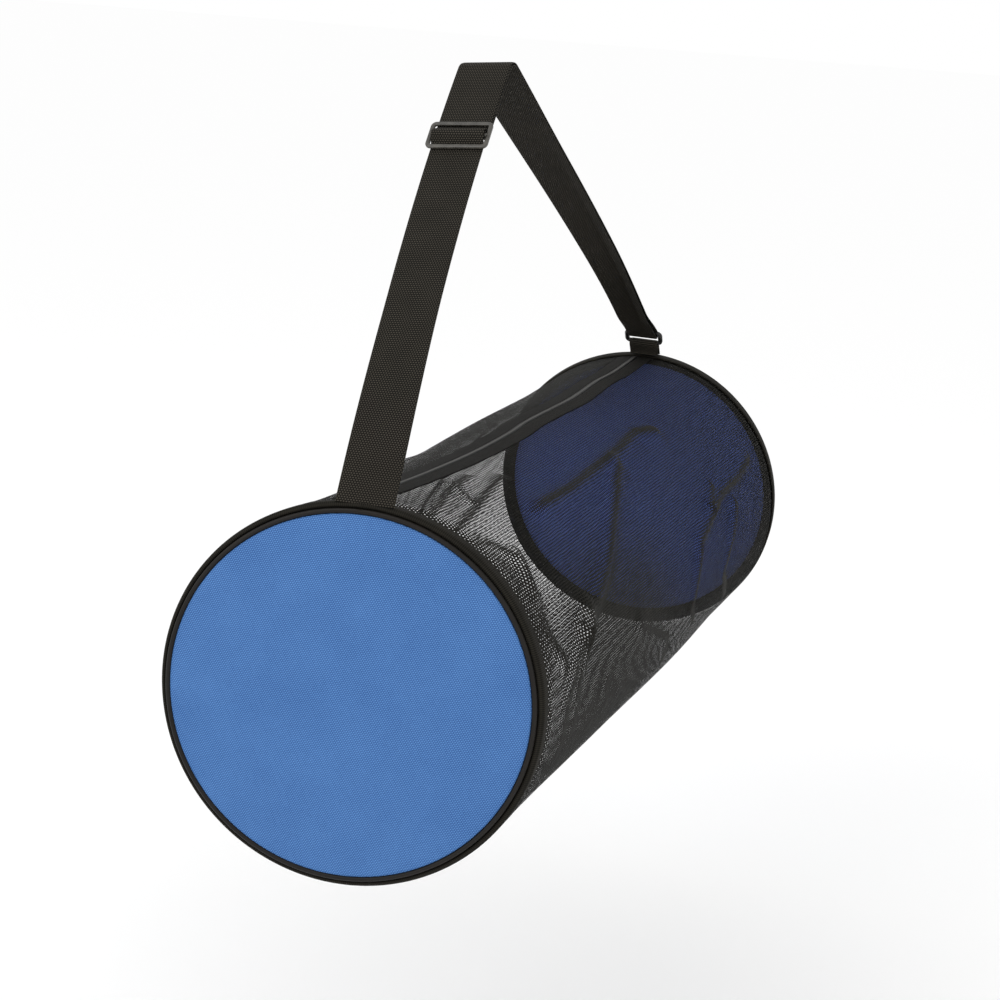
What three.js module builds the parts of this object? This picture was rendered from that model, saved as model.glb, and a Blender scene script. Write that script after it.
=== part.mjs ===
// A water polo cap bag: a long net bag with round cloth ends, hanging by its shoulder strap.
// Millimetres, +Z up. +Y runs from the front panel to the rear panel. The origin is the inside
// of the bend at the top of the strap, where the bag hangs. Inside the group called bag, points
// are measured from the middle of the front panel.

import * as THREE from 'three';

const { degToRad, clamp, smoothstep, lerp } = THREE.MathUtils;

// Clearance between pieces that touch
const GAP = 0.3;

// The bag's body
const BAG_LENGTH = 600;
const FRONT_DIAMETER = 242;
const REAR_DIAMETER = 260;
const PIPING_DIAMETER = 3.2;
const PANEL_THICKNESS = 1.5;
const PANEL_CROWN = 4;
const NET_THICKNESS = 1.2;
const FRONT_BAND_WIDTH = 10;
const REAR_BAND_WIDTH = 12;
const BAND_THICKNESS = 1.5;

// Beyond a rim band the net and the zip come up to the skin, and then the folds begin
const TUCK_START = 1.5;
const TUCK_END = 9;
const FOLD_START = 2;
const FOLD_FULL = 30;
const FOLD_FULL_AT_ZIP = 20;

// How the two ends are turned about the vertical and tipped by the pull of the strap
const FRONT = { at: 0, turn: degToRad(8.6), tip: degToRad(3.9) };
const REAR = { at: BAG_LENGTH, turn: degToRad(2.6), tip: degToRad(-6.1) };

// How far the tab pulls the rear rim up, where it pulls, how narrowly, and from where along the bag
const TAB_PULL = 4;
const TAB_PULL_AT = degToRad(25);
const TAB_PULL_FOCUS = 3;
const TAB_PULL_FROM = 0.72;

// The zip
const TAPE_WIDTH = 12;
const COIL_WIDTH = 5;
const COIL_RISE = 0.8;
const ZIP_SLIDER_WIDTH = 8;
const ZIP_SLIDER_LENGTH = 12;
const ZIP_SLIDER_HEIGHT = 4;
const ZIP_NECK_HEIGHT = 2.4;
const ZIP_PULL_LENGTH = 20;
const ZIP_PULL_THICKNESS = 1.6;
const ZIP_SLIDER_FROM_BAND = 16;

// The shoulder strap
const WEBBING_WIDTH = 38;
const WEBBING_THICKNESS = 1.2;
const STRAP_SEAT = 2.6;
const PEAK_ALONG = 0.375;
const PEAK_SIDE = -24;
const PEAK_HEIGHT = 385;
const BEND_RADIUS = 11;
const BEND_TILT = degToRad(12);
const BOW_OUT = 0.09;
const BOW_SIDE = -0.03;
const TWIST_SHARE = 0.45;
const REAR_BOW_SIDE = 12;
const REAR_BOW_UP = 4;
const LAYER_SPREAD_AT_BEND = 1.7;

// The three-bar slider on the strap
const SLIDER_ALONG = 0.812;
const SLIDER_BAR = 3;
const SLIDER_BAR_PITCH = 9.5;
const SLIDER_THICKNESS = 2.4;
const SLIDER_BEVEL = 0.6;
const SLIDER_CORNER = 4;
const SLIDER_CLIMB = degToRad(44);
const SEWN_END = 24;
const LOOP_EXIT = degToRad(150);
const SLIDER_CLEARANCE = 0.5;

// The ring at the rear rim and the tab that holds it
const RING_WIRE = 3.8;
const RING_WIDTH = 34;
const RING_BAR_PITCH = 11.2;
const RING_BEVEL = 1.1;
const RING_CORNER = 5;
const RING_LEAN = degToRad(33);
const RING_SIDE = 5.5;
const TAB_WIDTH = 25;
const TAB_THICKNESS = 1.4;
const TAB_RISE = 12;
const TAB_FROM_RIM = 7;
const TAB_PATCH = 5;

// How finely curved surfaces are divided
const ROUND_STEPS = 48;
const LENGTH_STEP = 48;
const BAND_SPANS = 3;
const PIPING_SIDES = 6;
const PANEL_RINGS = [0, 0.5, 0.85, 1];
const ACROSS_STRAP = [-1, -0.4, 0.24, 0.62, 1];
const STRAP_STEP = 36;
const TURN_STEPS = 6;
const MITRE_LIMIT = 0.7;

// The body's radius and sag along the bag's length, as shares of the rim's radius there
const BODY = [
  { along: 0, radius: 1.017, sag: 0 },
  { along: 0.0035, radius: 1.032, sag: 0 },
  { along: 0.0167, radius: 1.029, sag: 0.002 },
  { along: 0.03, radius: 1.027, sag: 0.005 },
  { along: 0.05, radius: 1.019, sag: 0.01 },
  { along: 0.08, radius: 1.011, sag: 0.016 },
  { along: 0.14, radius: 1.001, sag: 0.025 },
  { along: 0.2, radius: 0.995, sag: 0.033 },
  { along: 0.34, radius: 0.987, sag: 0.044 },
  { along: 0.53, radius: 0.997, sag: 0.04 },
  { along: 0.67, radius: 1.003, sag: 0.036 },
  { along: 0.79, radius: 1.004, sag: 0.029 },
  { along: 0.89, radius: 1.014, sag: 0.024 },
  { along: 0.95, radius: 1.019, sag: 0.02 },
  { along: 0.98, radius: 1.026, sag: 0.012 },
  { along: 0.9965, radius: 1.026, sag: 0 },
  { along: 1, radius: 1.016, sag: 0 },
];
const SAG_ANGLE = degToRad(124);

// Beyond this angle from the top, angles are counted backwards on the far side
const FAR_SIDE = degToRad(220);

// The zip's wave: its angle from the top, in degrees, along the bag's length
const ZIP_WAVE = [
  { along: 0, angle: -6 },
  { along: 0.12, angle: -4.3 },
  { along: 0.25, angle: -2.3 },
  { along: 0.44, angle: -0.8 },
  { along: 0.5, angle: -1.4 },
  { along: 0.66, angle: 0.1 },
  { along: 0.8, angle: -1.6 },
  { along: 0.87, angle: -0.1 },
  { along: 1, angle: -0.2 },
];

// Folds in the net: degrees from the top and shares of the bag's length at the ends and the
// turns of each fold's line, with its height and half width as shares of the rim's radius
const FOLDS = [
  // Front fan
  { angles: [2, 13, 22], along: [0.19, 0.14, 0.1], height: 0.02, reach: 0.06 },
  { angles: [8, 18, 26], along: [0.24, 0.12, 0.07], height: 0.02, reach: 0.06 },
  // Arch along the near side
  { angles: [38, 35, 33, 31], along: [0.16, 0.3, 0.5, 0.66], height: 0.05, reach: 0.08 },
  // From the arch down to the front rim
  { angles: [34, 50, 68, 84], along: [0.5, 0.36, 0.21, 0.11], height: 0.045, reach: 0.08 },
  { angles: [84, 98, 112], along: [0.11, 0.1, 0.12], height: 0.04, reach: 0.08 },
  // Rear half of the near side
  { angles: [60, 67, 73, 97], along: [0.95, 0.82, 0.65, 0.6], height: 0.03, reach: 0.07 },
  { angles: [67, 89, 112], along: [0.8, 0.75, 0.84], height: 0.03, reach: 0.07 },
  { angles: [84, 100, 116], along: [0.31, 0.44, 0.5], height: 0.03, reach: 0.08 },
  // Far side and underside
  { angles: [-40, -62, -80], along: [0.46, 0.3, 0.14], height: 0.03, reach: 0.09 },
  { angles: [-55, -84, -110], along: [0.86, 0.68, 0.6], height: 0.03, reach: 0.09 },
  { angles: [170, 186, 204], along: [0.25, 0.5, 0.72], height: 0.025, reach: 0.1 },
];

// The rear stretch of the strap cups towards the ring: along the stretch, its width and drop as
// shares of the webbing's width, the crease's place as a share of its own width, and how far its
// two layers have spread, as a share of the spread at the ring
const STRAP_CUP = [
  { along: 0.0, width: 1.0, crease: 0.9, drop: 0.0, spread: 0.0 },
  { along: 0.3, width: 0.9, crease: 0.8, drop: 0.05, spread: 0.07 },
  { along: 0.6, width: 0.79, crease: 0.7, drop: 0.13, spread: 0.22 },
  { along: 0.88, width: 0.68, crease: 0.62, drop: 0.18, spread: 0.5 },
  { along: 0.97, width: 0.675, crease: 0.6, drop: 0.04, spread: 0.85 },
  { along: 1.0, width: 0.675, crease: 0.6, drop: 0.0, spread: 1.0 },
];

const vector = (x, y, z) => new THREE.Vector3(x, y, z);
const UP = vector(0, 0, 1);
const BACK = vector(0, 1, 0);

// The outer radius of the piping at the front, at the rear and, between them, at a share of the length
const FRONT_RIM = FRONT_DIAMETER / 2;
const REAR_RIM = REAR_DIAMETER / 2;
const rimAt = (along) => lerp(FRONT_RIM, REAR_RIM, along);

// How far the middle of a flat facet lies inside the round body
const facetSag = (along) => rimAt(along) * (1 - Math.cos(Math.PI / ROUND_STEPS));

// The steepness of the straight line between one row and the next
function steepness(table, column, row) {
  return (table[row + 1][column] - table[row][column]) / (table[row + 1].along - table[row].along);
}

// The slope of a smooth curve through the rows, level at the ends and at turning points
function slopeAt(table, column, row) {
  if (row === 0 || row === table.length - 1) return 0;
  const before = steepness(table, column, row - 1);
  const after = steepness(table, column, row);
  return before * after <= 0 ? 0 : (2 * before * after) / (before + after);
}

// A column's value on the smooth curve through a table's rows
function lookUp(table, column, along) {
  const last = table.length - 1;
  const place = clamp(along, table[0].along, table[last].along);
  let row = 0;
  while (row < last - 1 && place > table[row + 1].along) row += 1;
  const span = table[row + 1].along - table[row].along;
  const t = (place - table[row].along) / span;
  const start = (2 * t ** 3 - 3 * t ** 2 + 1) * table[row][column];
  const leave = (t ** 3 - 2 * t ** 2 + t) * span * slopeAt(table, column, row);
  const end = (3 * t ** 2 - 2 * t ** 3) * table[row + 1][column];
  const arrive = (t ** 3 - t ** 2) * span * slopeAt(table, column, row + 1);
  return start + leave + end + arrive;
}

// The matrix that turns and tips what is drawn round the bag's axis into the plane of an end
function leanMatrix(end) {
  const matrix = new THREE.Matrix4();
  const [turn, tip] = [Math.sin(end.turn), Math.sin(end.tip)];
  matrix.set(Math.cos(end.turn), 0, 0, 0, turn, 1, tip, end.at, 0, 0, Math.cos(end.tip), 0, 0, 0, 0, 1);
  return matrix;
}

const FRONT_LEAN = leanMatrix(FRONT);
const REAR_LEAN = leanMatrix(REAR);

// A point from its share of the bag's length, its angle from the top towards +X and its radius
function bagPoint(along, angle, radius) {
  const point = vector(radius * Math.sin(angle), 0, radius * Math.cos(angle));
  return point.clone().applyMatrix4(FRONT_LEAN).lerp(point.applyMatrix4(REAR_LEAN), along);
}

// How far the tab pulls the rear rim up at an angle from the top
const tabPull = (angle) => TAB_PULL * Math.exp(TAB_PULL_FOCUS * (Math.cos(angle - TAB_PULL_AT) - 1));

// The outer radius of the body, without folds
function skin(along, angle) {
  const sag = lookUp(BODY, 'sag', along) * Math.cos(angle - SAG_ANGLE);
  const pull = smoothstep(along, TAB_PULL_FROM, 1) * tabPull(angle);
  return rimAt(along) * (lookUp(BODY, 'radius', along) + sag) + pull;
}

const bandWidthAt = (along) => (along < 0.5 ? FRONT_BAND_WIDTH : REAR_BAND_WIDTH);

// How far a place is from the nearer rim band, less than nothing where it lies under the band
const beyondBand = (along) => Math.min(along, 1 - along) * BAG_LENGTH - bandWidthAt(along);

// How far cloth that runs under a rim band is tucked in
function tuck(along) {
  const depth = BAND_THICKNESS + GAP + facetSag(along);
  return depth * (1 - smoothstep(beyondBand(along), TUCK_START, TUCK_END));
}

// The nearest distance, laid out flat, from a place on the net to a fold's line
function distanceToFold(fold, along, angle) {
  const rim = rimAt(along);
  const place = new THREE.Vector2(angle * rim, along * BAG_LENGTH);
  let nearest = Infinity;
  for (let i = 0; i + 1 < fold.angles.length; i += 1) {
    const from = new THREE.Vector2(degToRad(fold.angles[i]) * rim, fold.along[i] * BAG_LENGTH);
    const to = new THREE.Vector2(degToRad(fold.angles[i + 1]) * rim, fold.along[i + 1] * BAG_LENGTH);
    const step = to.sub(from);
    const share = clamp(place.clone().sub(from).dot(step) / step.lengthSq(), 0, 1);
    nearest = Math.min(nearest, place.distanceTo(from.addScaledVector(step, share)));
  }
  return nearest;
}

// How far the folds lift the net, fading out at the rim bands and at the zip
function foldLift(along, angle, fromZip) {
  const turned = angle > FAR_SIDE ? angle - 2 * Math.PI : angle;
  const fromBand = smoothstep(beyondBand(along), FOLD_START, FOLD_FULL);
  const fade = fromBand * smoothstep(fromZip, 0, FOLD_FULL_AT_ZIP);
  let lift = 0;
  for (const fold of FOLDS) {
    const share = distanceToFold(fold, along, turned) / (fold.reach * rimAt(along));
    lift += fold.height * rimAt(along) * Math.exp(-(share ** 2));
  }
  return lift * fade;
}

// A closed sheet between two grids of points, its columns joined round when it is a ring.
// Columns run to the right when rows run away and the outer face is up.
function sheetGeometry(outer, inner, ring = false) {
  const rows = outer.length;
  const columns = outer[0].length;
  const spans = ring ? columns : columns - 1;
  const at = (side, row, column) => (side * rows + row) * columns + (column % columns);
  const faces = [];
  const quad = (a, b, c, d) => faces.push(a, b, c, a, c, d);
  for (let i = 0; i + 1 < rows; i += 1) {
    for (let j = 0; j < spans; j += 1) {
      quad(at(0, i, j), at(0, i, j + 1), at(0, i + 1, j + 1), at(0, i + 1, j));
      quad(at(1, i, j), at(1, i + 1, j), at(1, i + 1, j + 1), at(1, i, j + 1));
    }
  }
  const end = rows - 1;
  for (let j = 0; j < spans; j += 1) {
    quad(at(0, 0, j), at(1, 0, j), at(1, 0, j + 1), at(0, 0, j + 1));
    quad(at(0, end, j), at(0, end, j + 1), at(1, end, j + 1), at(1, end, j));
  }
  for (let i = 0; !ring && i < end; i += 1) {
    quad(at(0, i, 0), at(0, i + 1, 0), at(1, i + 1, 0), at(1, i, 0));
    quad(at(0, i, spans), at(1, i, spans), at(1, i + 1, spans), at(0, i + 1, spans));
  }
  const geometry = new THREE.BufferGeometry().setFromPoints([...outer.flat(), ...inner.flat()]);
  geometry.setIndex(faces);
  geometry.computeVertexNormals();
  return geometry;
}

const material = (color, roughness, metalness = 0) =>
  new THREE.MeshStandardMaterial({ color, roughness, metalness });

const bag = new THREE.Group();

function addPiece(name, geometry, finish, parent = bag) {
  const piece = new THREE.Mesh(geometry, finish);
  piece.name = name;
  parent.add(piece);
  return piece;
}

// Distances from an end panel's plane at which cloth at a rim is divided, clear of the piping
const RIM_STOP = PIPING_DIAMETER / 2 + GAP;
const bandPlaces = (width) =>
  Array.from({ length: BAND_SPANS + 1 }, (_, i) => lerp(RIM_STOP, width, i / BAND_SPANS));

// Shares of the length at which the body's cloths are divided, closer together at the bands
function lengthShares() {
  const nearBand = (width) => [...bandPlaces(width), width + TUCK_END / 2, width + TUCK_END];
  const nearFront = nearBand(FRONT_BAND_WIDTH);
  const nearRear = nearBand(REAR_BAND_WIDTH).map((distance) => BAG_LENGTH - distance).reverse();
  const from = nearFront[nearFront.length - 1];
  const to = nearRear[0];
  const steps = Math.round((to - from) / LENGTH_STEP);
  const between = [];
  for (let i = 1; i < steps; i += 1) between.push(lerp(from, to, i / steps));
  return [...nearFront, ...between, ...nearRear].map((distance) => distance / BAG_LENGTH);
}

const SHARES = lengthShares();
const zipAngle = (along) => degToRad(lookUp(ZIP_WAVE, 'angle', along));

// The angle at a distance to one side of the zip's middle line
const besideZip = (along, distance) => zipAngle(along) + distance / skin(along, zipAngle(along));

// End panels: a shallow dome of cloth inside its piping, leaned into the plane of its end
function panelGeometry(rim, facing) {
  const radius = rim - PIPING_DIAMETER - GAP;
  const rise = (share) => facing * PANEL_CROWN * (1 - share ** 4);
  const half = PANEL_THICKNESS / 2;
  const back = PANEL_RINGS.map((share) => new THREE.Vector2(share * radius, rise(share) - half));
  const front = PANEL_RINGS.map((share) => new THREE.Vector2(share * radius, rise(share) + half)).reverse();
  return new THREE.LatheGeometry([...back, ...front], ROUND_STEPS);
}

function pipingGeometry(rim) {
  const middle = rim - PIPING_DIAMETER / 2;
  const ring = new THREE.TorusGeometry(middle, PIPING_DIAMETER / 2, PIPING_SIDES, ROUND_STEPS);
  return ring.rotateX(Math.PI / 2);
}

// Pulls a ring or disc round the bag's axis up with the tab
function pullUp(geometry) {
  const points = geometry.attributes.position;
  for (let i = 0; i < points.count; i += 1) {
    const [x, z] = [points.getX(i), points.getZ(i)];
    const factor = 1 + tabPull(Math.atan2(x, z)) / REAR_RIM;
    points.setXYZ(i, x * factor, points.getY(i), z * factor);
  }
  return geometry;
}

// A rim band: a tape round the end of the body, over the net and behind the piping
function bandGeometry(width, fromRim) {
  const places = [GAP, ...bandPlaces(width)];
  const shares = places.map((distance) => fromRim(distance / BAG_LENGTH));
  shares.sort((a, b) => a - b);
  const grid = (depth) =>
    shares.map((along) =>
      Array.from({ length: ROUND_STEPS }, (_, j) => {
        const angle = (2 * Math.PI * j) / ROUND_STEPS;
        return bagPoint(along, angle, skin(along, angle) - depth);
      }),
    );
  return sheetGeometry(grid(0), grid(BAND_THICKNESS), true);
}

// The net: one wall from zip tape to zip tape round the body, with the sag and the folds
function netGeometry() {
  const clear = COIL_WIDTH / 2 + TAPE_WIDTH + 2 * GAP;
  const grid = (depth) =>
    SHARES.map((along) => {
      const start = besideZip(along, clear);
      const stop = besideZip(along, -clear) + 2 * Math.PI;
      return Array.from({ length: ROUND_STEPS + 1 }, (_, j) => {
        const angle = lerp(start, stop, j / ROUND_STEPS);
        const fromZip = Math.min(angle - start, stop - angle) * rimAt(along);
        const lift = foldLift(along, angle, fromZip) - tuck(along);
        return bagPoint(along, angle, skin(along, angle) + lift - depth);
      });
    });
  return sheetGeometry(grid(0), grid(NET_THICKNESS));
}

// A zip tape: from the coil out to the net on one side, side being 1 or -1
function tapeGeometry(side) {
  const near = COIL_WIDTH / 2 + GAP;
  const offsets = [near, near + TAPE_WIDTH / 2, near + TAPE_WIDTH].map((offset) => side * offset);
  offsets.sort((a, b) => a - b);
  const grid = (depth) =>
    SHARES.map((along) =>
      offsets.map((offset) => {
        const angle = besideZip(along, offset);
        return bagPoint(along, angle, skin(along, angle) - tuck(along) - depth);
      }),
    );
  return sheetGeometry(grid(0), grid(NET_THICKNESS));
}

// The closed coil: a low bead between the tapes, from one rim band to the other
function coilGeometry() {
  const first = (FRONT_BAND_WIDTH + GAP) / BAG_LENGTH;
  const last = 1 - (REAR_BAND_WIDTH + GAP) / BAG_LENGTH;
  const shares = SHARES.filter((along) => along > first && along < last);
  shares.unshift(first);
  shares.push(last);
  const across = [-1, -0.5, 0, 0.5, 1];
  const grid = (rise) =>
    shares.map((along) =>
      across.map((share) => {
        const angle = besideZip(along, (share * COIL_WIDTH) / 2);
        return bagPoint(along, angle, skin(along, angle) - tuck(along) + rise(share));
      }),
    );
  return sheetGeometry(grid((share) => COIL_RISE * (1 - share ** 2)), grid(() => -NET_THICKNESS));
}

// The zip's slider with its pull laid back, drawn from the side and given its width
function zipSliderGeometry() {
  const half = ZIP_SLIDER_LENGTH / 2;
    const side = new THREE.Shape();
  side.moveTo(-half, 0);
  side.lineTo(half, 0);
  side.lineTo(half, ZIP_NECK_HEIGHT - ZIP_PULL_THICKNESS);
  side.lineTo(half + ZIP_PULL_LENGTH, ZIP_NECK_HEIGHT - ZIP_PULL_THICKNESS);
  side.lineTo(half + ZIP_PULL_LENGTH, ZIP_NECK_HEIGHT);
  side.lineTo(half, ZIP_NECK_HEIGHT);
  side.lineTo(half / 2, ZIP_SLIDER_HEIGHT);
  side.lineTo(-half / 2, ZIP_SLIDER_HEIGHT);
  side.lineTo(-half, ZIP_NECK_HEIGHT);
  side.closePath();
  const geometry = new THREE.ExtrudeGeometry(side, { depth: ZIP_SLIDER_WIDTH, bevelEnabled: false });
  geometry.translate(0, 0, -ZIP_SLIDER_WIDTH / 2);
  return geometry.applyMatrix4(new THREE.Matrix4().makeBasis(BACK, UP, vector(1, 0, 0)));
}

// A flat frame with rounded corners and rectangular windows, its thickness about its middle
function frameGeometry(width, height, thickness, corner, bevel, windows) {
  const outline = new THREE.Shape();
  const [x, y] = [width / 2, height / 2];
  outline.moveTo(corner - x, -y);
  outline.lineTo(x - corner, -y);
  outline.absarc(x - corner, corner - y, corner, -Math.PI / 2, 0);
  outline.lineTo(x, y - corner);
  outline.absarc(x - corner, y - corner, corner, 0, Math.PI / 2);
  outline.lineTo(corner - x, y);
  outline.absarc(corner - x, y - corner, corner, Math.PI / 2, Math.PI);
  outline.lineTo(-x, corner - y);
  outline.absarc(corner - x, corner - y, corner, Math.PI, 1.5 * Math.PI);
  for (const [left, right, low, high] of windows) {
    const hole = new THREE.Path();
    hole.moveTo(left, low);
    hole.lineTo(left, high);
    hole.lineTo(right, high);
    hole.lineTo(right, low);
    hole.closePath();
    outline.holes.push(hole);
  }
  const geometry = new THREE.ExtrudeGeometry(outline, {
    depth: thickness - 2 * bevel,
    bevelThickness: bevel,
    bevelSize: bevel,
    bevelOffset: -bevel,
    bevelSegments: 1,
    curveSegments: 3,
  });
  return geometry.translate(0, 0, bevel - thickness / 2);
}

// How far the corner of a bevelled bar reaches from the bar's middle
const barReach = (size, bevel) => Math.hypot(size / 2, size / 2 - bevel);

const SLIDER_REACH = barReach(SLIDER_BAR, (SLIDER_BAR - SLIDER_THICKNESS) / 2 + SLIDER_BEVEL);
const RING_REACH = barReach(RING_WIRE, RING_BEVEL);
const HALF_WEB = WEBBING_THICKNESS / 2;

// The tab's foot on the rear band, and the bars of the ring that stands in it
const acrossRear = vector(1, Math.tan(REAR.turn), 0).normalize();
const ringUp = vector(0, -Math.sin(RING_LEAN), Math.cos(RING_LEAN));
const tabShare = 1 - TAB_FROM_RIM / BAG_LENGTH;
const patchShares = [0, 0.25, 0.5, 0.75, 1].map((part) => tabShare - (part * TAB_PATCH) / BAG_LENGTH);
const tabTop = Math.max(...patchShares.map((share) => skin(share, 0)));
const tabFoot = bagPoint(tabShare, 0, tabTop + GAP + TAB_THICKNESS / 2).add(vector(RING_SIDE, 0, 0));
const lowerBar = tabFoot.clone().addScaledVector(ringUp, TAB_RISE);
const upperBar = lowerBar.clone().addScaledVector(ringUp, RING_BAR_PITCH);

// The strap's line: from its seat on the front rim, up to the bend and down to the ring
const seatShare = (STRAP_SEAT + HALF_WEB) / BAG_LENGTH;
const seat = bagPoint(seatShare, 0, skin(seatShare, 0) + GAP);
seat.z += WEBBING_THICKNESS / 2;
const peak = vector(PEAK_SIDE, PEAK_ALONG * BAG_LENGTH, PEAK_HEIGHT);
const acrossFront = vector(1, Math.tan(FRONT.turn), 0).normalize();
const acrossPeak = vector(Math.cos(BEND_TILT), 0, Math.sin(BEND_TILT));
const rearBow = vector(REAR_BOW_SIDE, 0, REAR_BOW_UP);
const rearHandle = upperBar.distanceTo(peak) / 3;
const rearChord = upperBar.clone().sub(peak).normalize();
const rearPull = rearChord.clone().multiplyScalar(rearHandle).sub(rearBow).normalize();
const ringClear = RING_REACH + GAP + HALF_WEB;
const ringNormal = acrossRear.clone().cross(rearPull).normalize();
const lineEnd = upperBar.clone().addScaledVector(ringNormal, ringClear);
const rearDirection = lineEnd.clone().sub(peak).normalize();
const frontChord = peak.clone().sub(seat).normalize();
const outward = acrossFront.clone().cross(frontChord).normalize();
const bow = outward.multiplyScalar(BOW_OUT).add(vector(BOW_SIDE, 0, 0));
const leaving = frontChord.clone().add(bow).normalize();
const arriving = frontChord.clone().sub(bow).normalize();
const bendAngle = arriving.angleTo(rearDirection);
const bendAxis = arriving.clone().cross(rearDirection).normalize();
const bendTop = arriving.clone().sub(rearDirection).normalize();
const bendMiddle = peak.clone().addScaledVector(bendTop, -BEND_RADIUS);
const bendSpoke = (turn) => bendTop.clone().applyAxisAngle(bendAxis, turn - bendAngle / 2);
const bendPoint = (turn) => bendMiddle.clone().addScaledVector(bendSpoke(turn), BEND_RADIUS);
const frontHandle = peak.distanceTo(seat) / 3;
const frontCurve = new THREE.CubicBezierCurve3(
  seat,
  seat.clone().addScaledVector(leaving, frontHandle),
  bendPoint(0).addScaledVector(arriving, -frontHandle),
  bendPoint(0),
);
const rearCurve = new THREE.CubicBezierCurve3(
  bendPoint(bendAngle),
  bendPoint(bendAngle).addScaledVector(rearDirection, rearHandle),
  lineEnd.clone().addScaledVector(rearPull, -rearHandle),
  lineEnd,
);
const FRONT_RUN = frontCurve.getLength();
const BEND_RUN = BEND_RADIUS * bendAngle;
const REAR_RUN = rearCurve.getLength();
const REAR_FROM = FRONT_RUN + BEND_RUN;
const STRAP_RUN = REAR_FROM + REAR_RUN;
const SLIDER_AT = SLIDER_ALONG * FRONT_RUN;

// The strap line's place and direction at a distance from the seat
function lineAt(distance) {
  if (distance <= FRONT_RUN) {
    const share = Math.max(distance, 0) / FRONT_RUN;
    const along = frontCurve.getTangentAt(share);
    const point = frontCurve.getPointAt(share).addScaledVector(along, Math.min(distance, 0));
    return { point, along };
  }
  if (distance < REAR_FROM) {
    const turn = (distance - FRONT_RUN) / BEND_RADIUS;
    return { point: bendPoint(turn), along: arriving.clone().applyAxisAngle(bendAxis, turn) };
  }
  const along = rearCurve.getTangentAt(Math.min((distance - REAR_FROM) / REAR_RUN, 1));
  const point = rearCurve.getPointAt(Math.min((distance - REAR_FROM) / REAR_RUN, 1));
  return { point: point.addScaledVector(along, Math.max(distance - STRAP_RUN, 0)), along };
}

// The strap line with its directions: along it, across the webbing and out of its face
function strapFrame(distance) {
  const { point, along } = lineAt(distance);
  const peakAt = FRONT_RUN + BEND_RUN / 2;
  const toPeak = smoothstep(distance, 0, peakAt * TWIST_SHARE);
  const toRing = clamp((distance - peakAt) / (STRAP_RUN - peakAt), 0, 1);
  const across = acrossFront.clone().lerp(acrossPeak, toPeak).lerp(acrossRear, toRing);
  across.addScaledVector(along, -across.dot(along) * (1 - toRing ** 2)).normalize();
  return { point, along, across, normal: across.clone().cross(along).normalize() };
}

// A point of the webbing: distance along the strap line, height over it, place across from -1 to 1
function strapPoint(distance, height, place) {
  const { point, along, across, normal } = strapFrame(distance);
  const share = (distance - REAR_FROM) / REAR_RUN;
  const crease = 2 * lookUp(STRAP_CUP, 'crease', share) - 1;
  const width = WEBBING_WIDTH * lookUp(STRAP_CUP, 'width', share);
  const leg = place < crease ? crease + 1 : 1 - crease;
  const drop = (WEBBING_WIDTH * lookUp(STRAP_CUP, 'drop', share) * Math.abs(place - crease)) / leg;
  const side = (place * width) / 2;
  const onRim = distance < WEBBING_THICKNESS ? FRONT_RIM - Math.sqrt(FRONT_RIM ** 2 - side ** 2) : 0;
  point.addScaledVector(across, side);
  point.addScaledVector(normal, height - drop);
  return point.addScaledVector(along, -onRim);
}

// Points of an arc round a bar, turned from the top of the bar towards the far side
function aroundBar(middle, height, radius, from, to) {
  const turns = Array.from({ length: TURN_STEPS + 1 }, (_, i) => lerp(from, to, i / TURN_STEPS));
  return turns.map((turn) => [middle + radius * Math.sin(turn), height + radius * Math.cos(turn)]);
}

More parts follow.
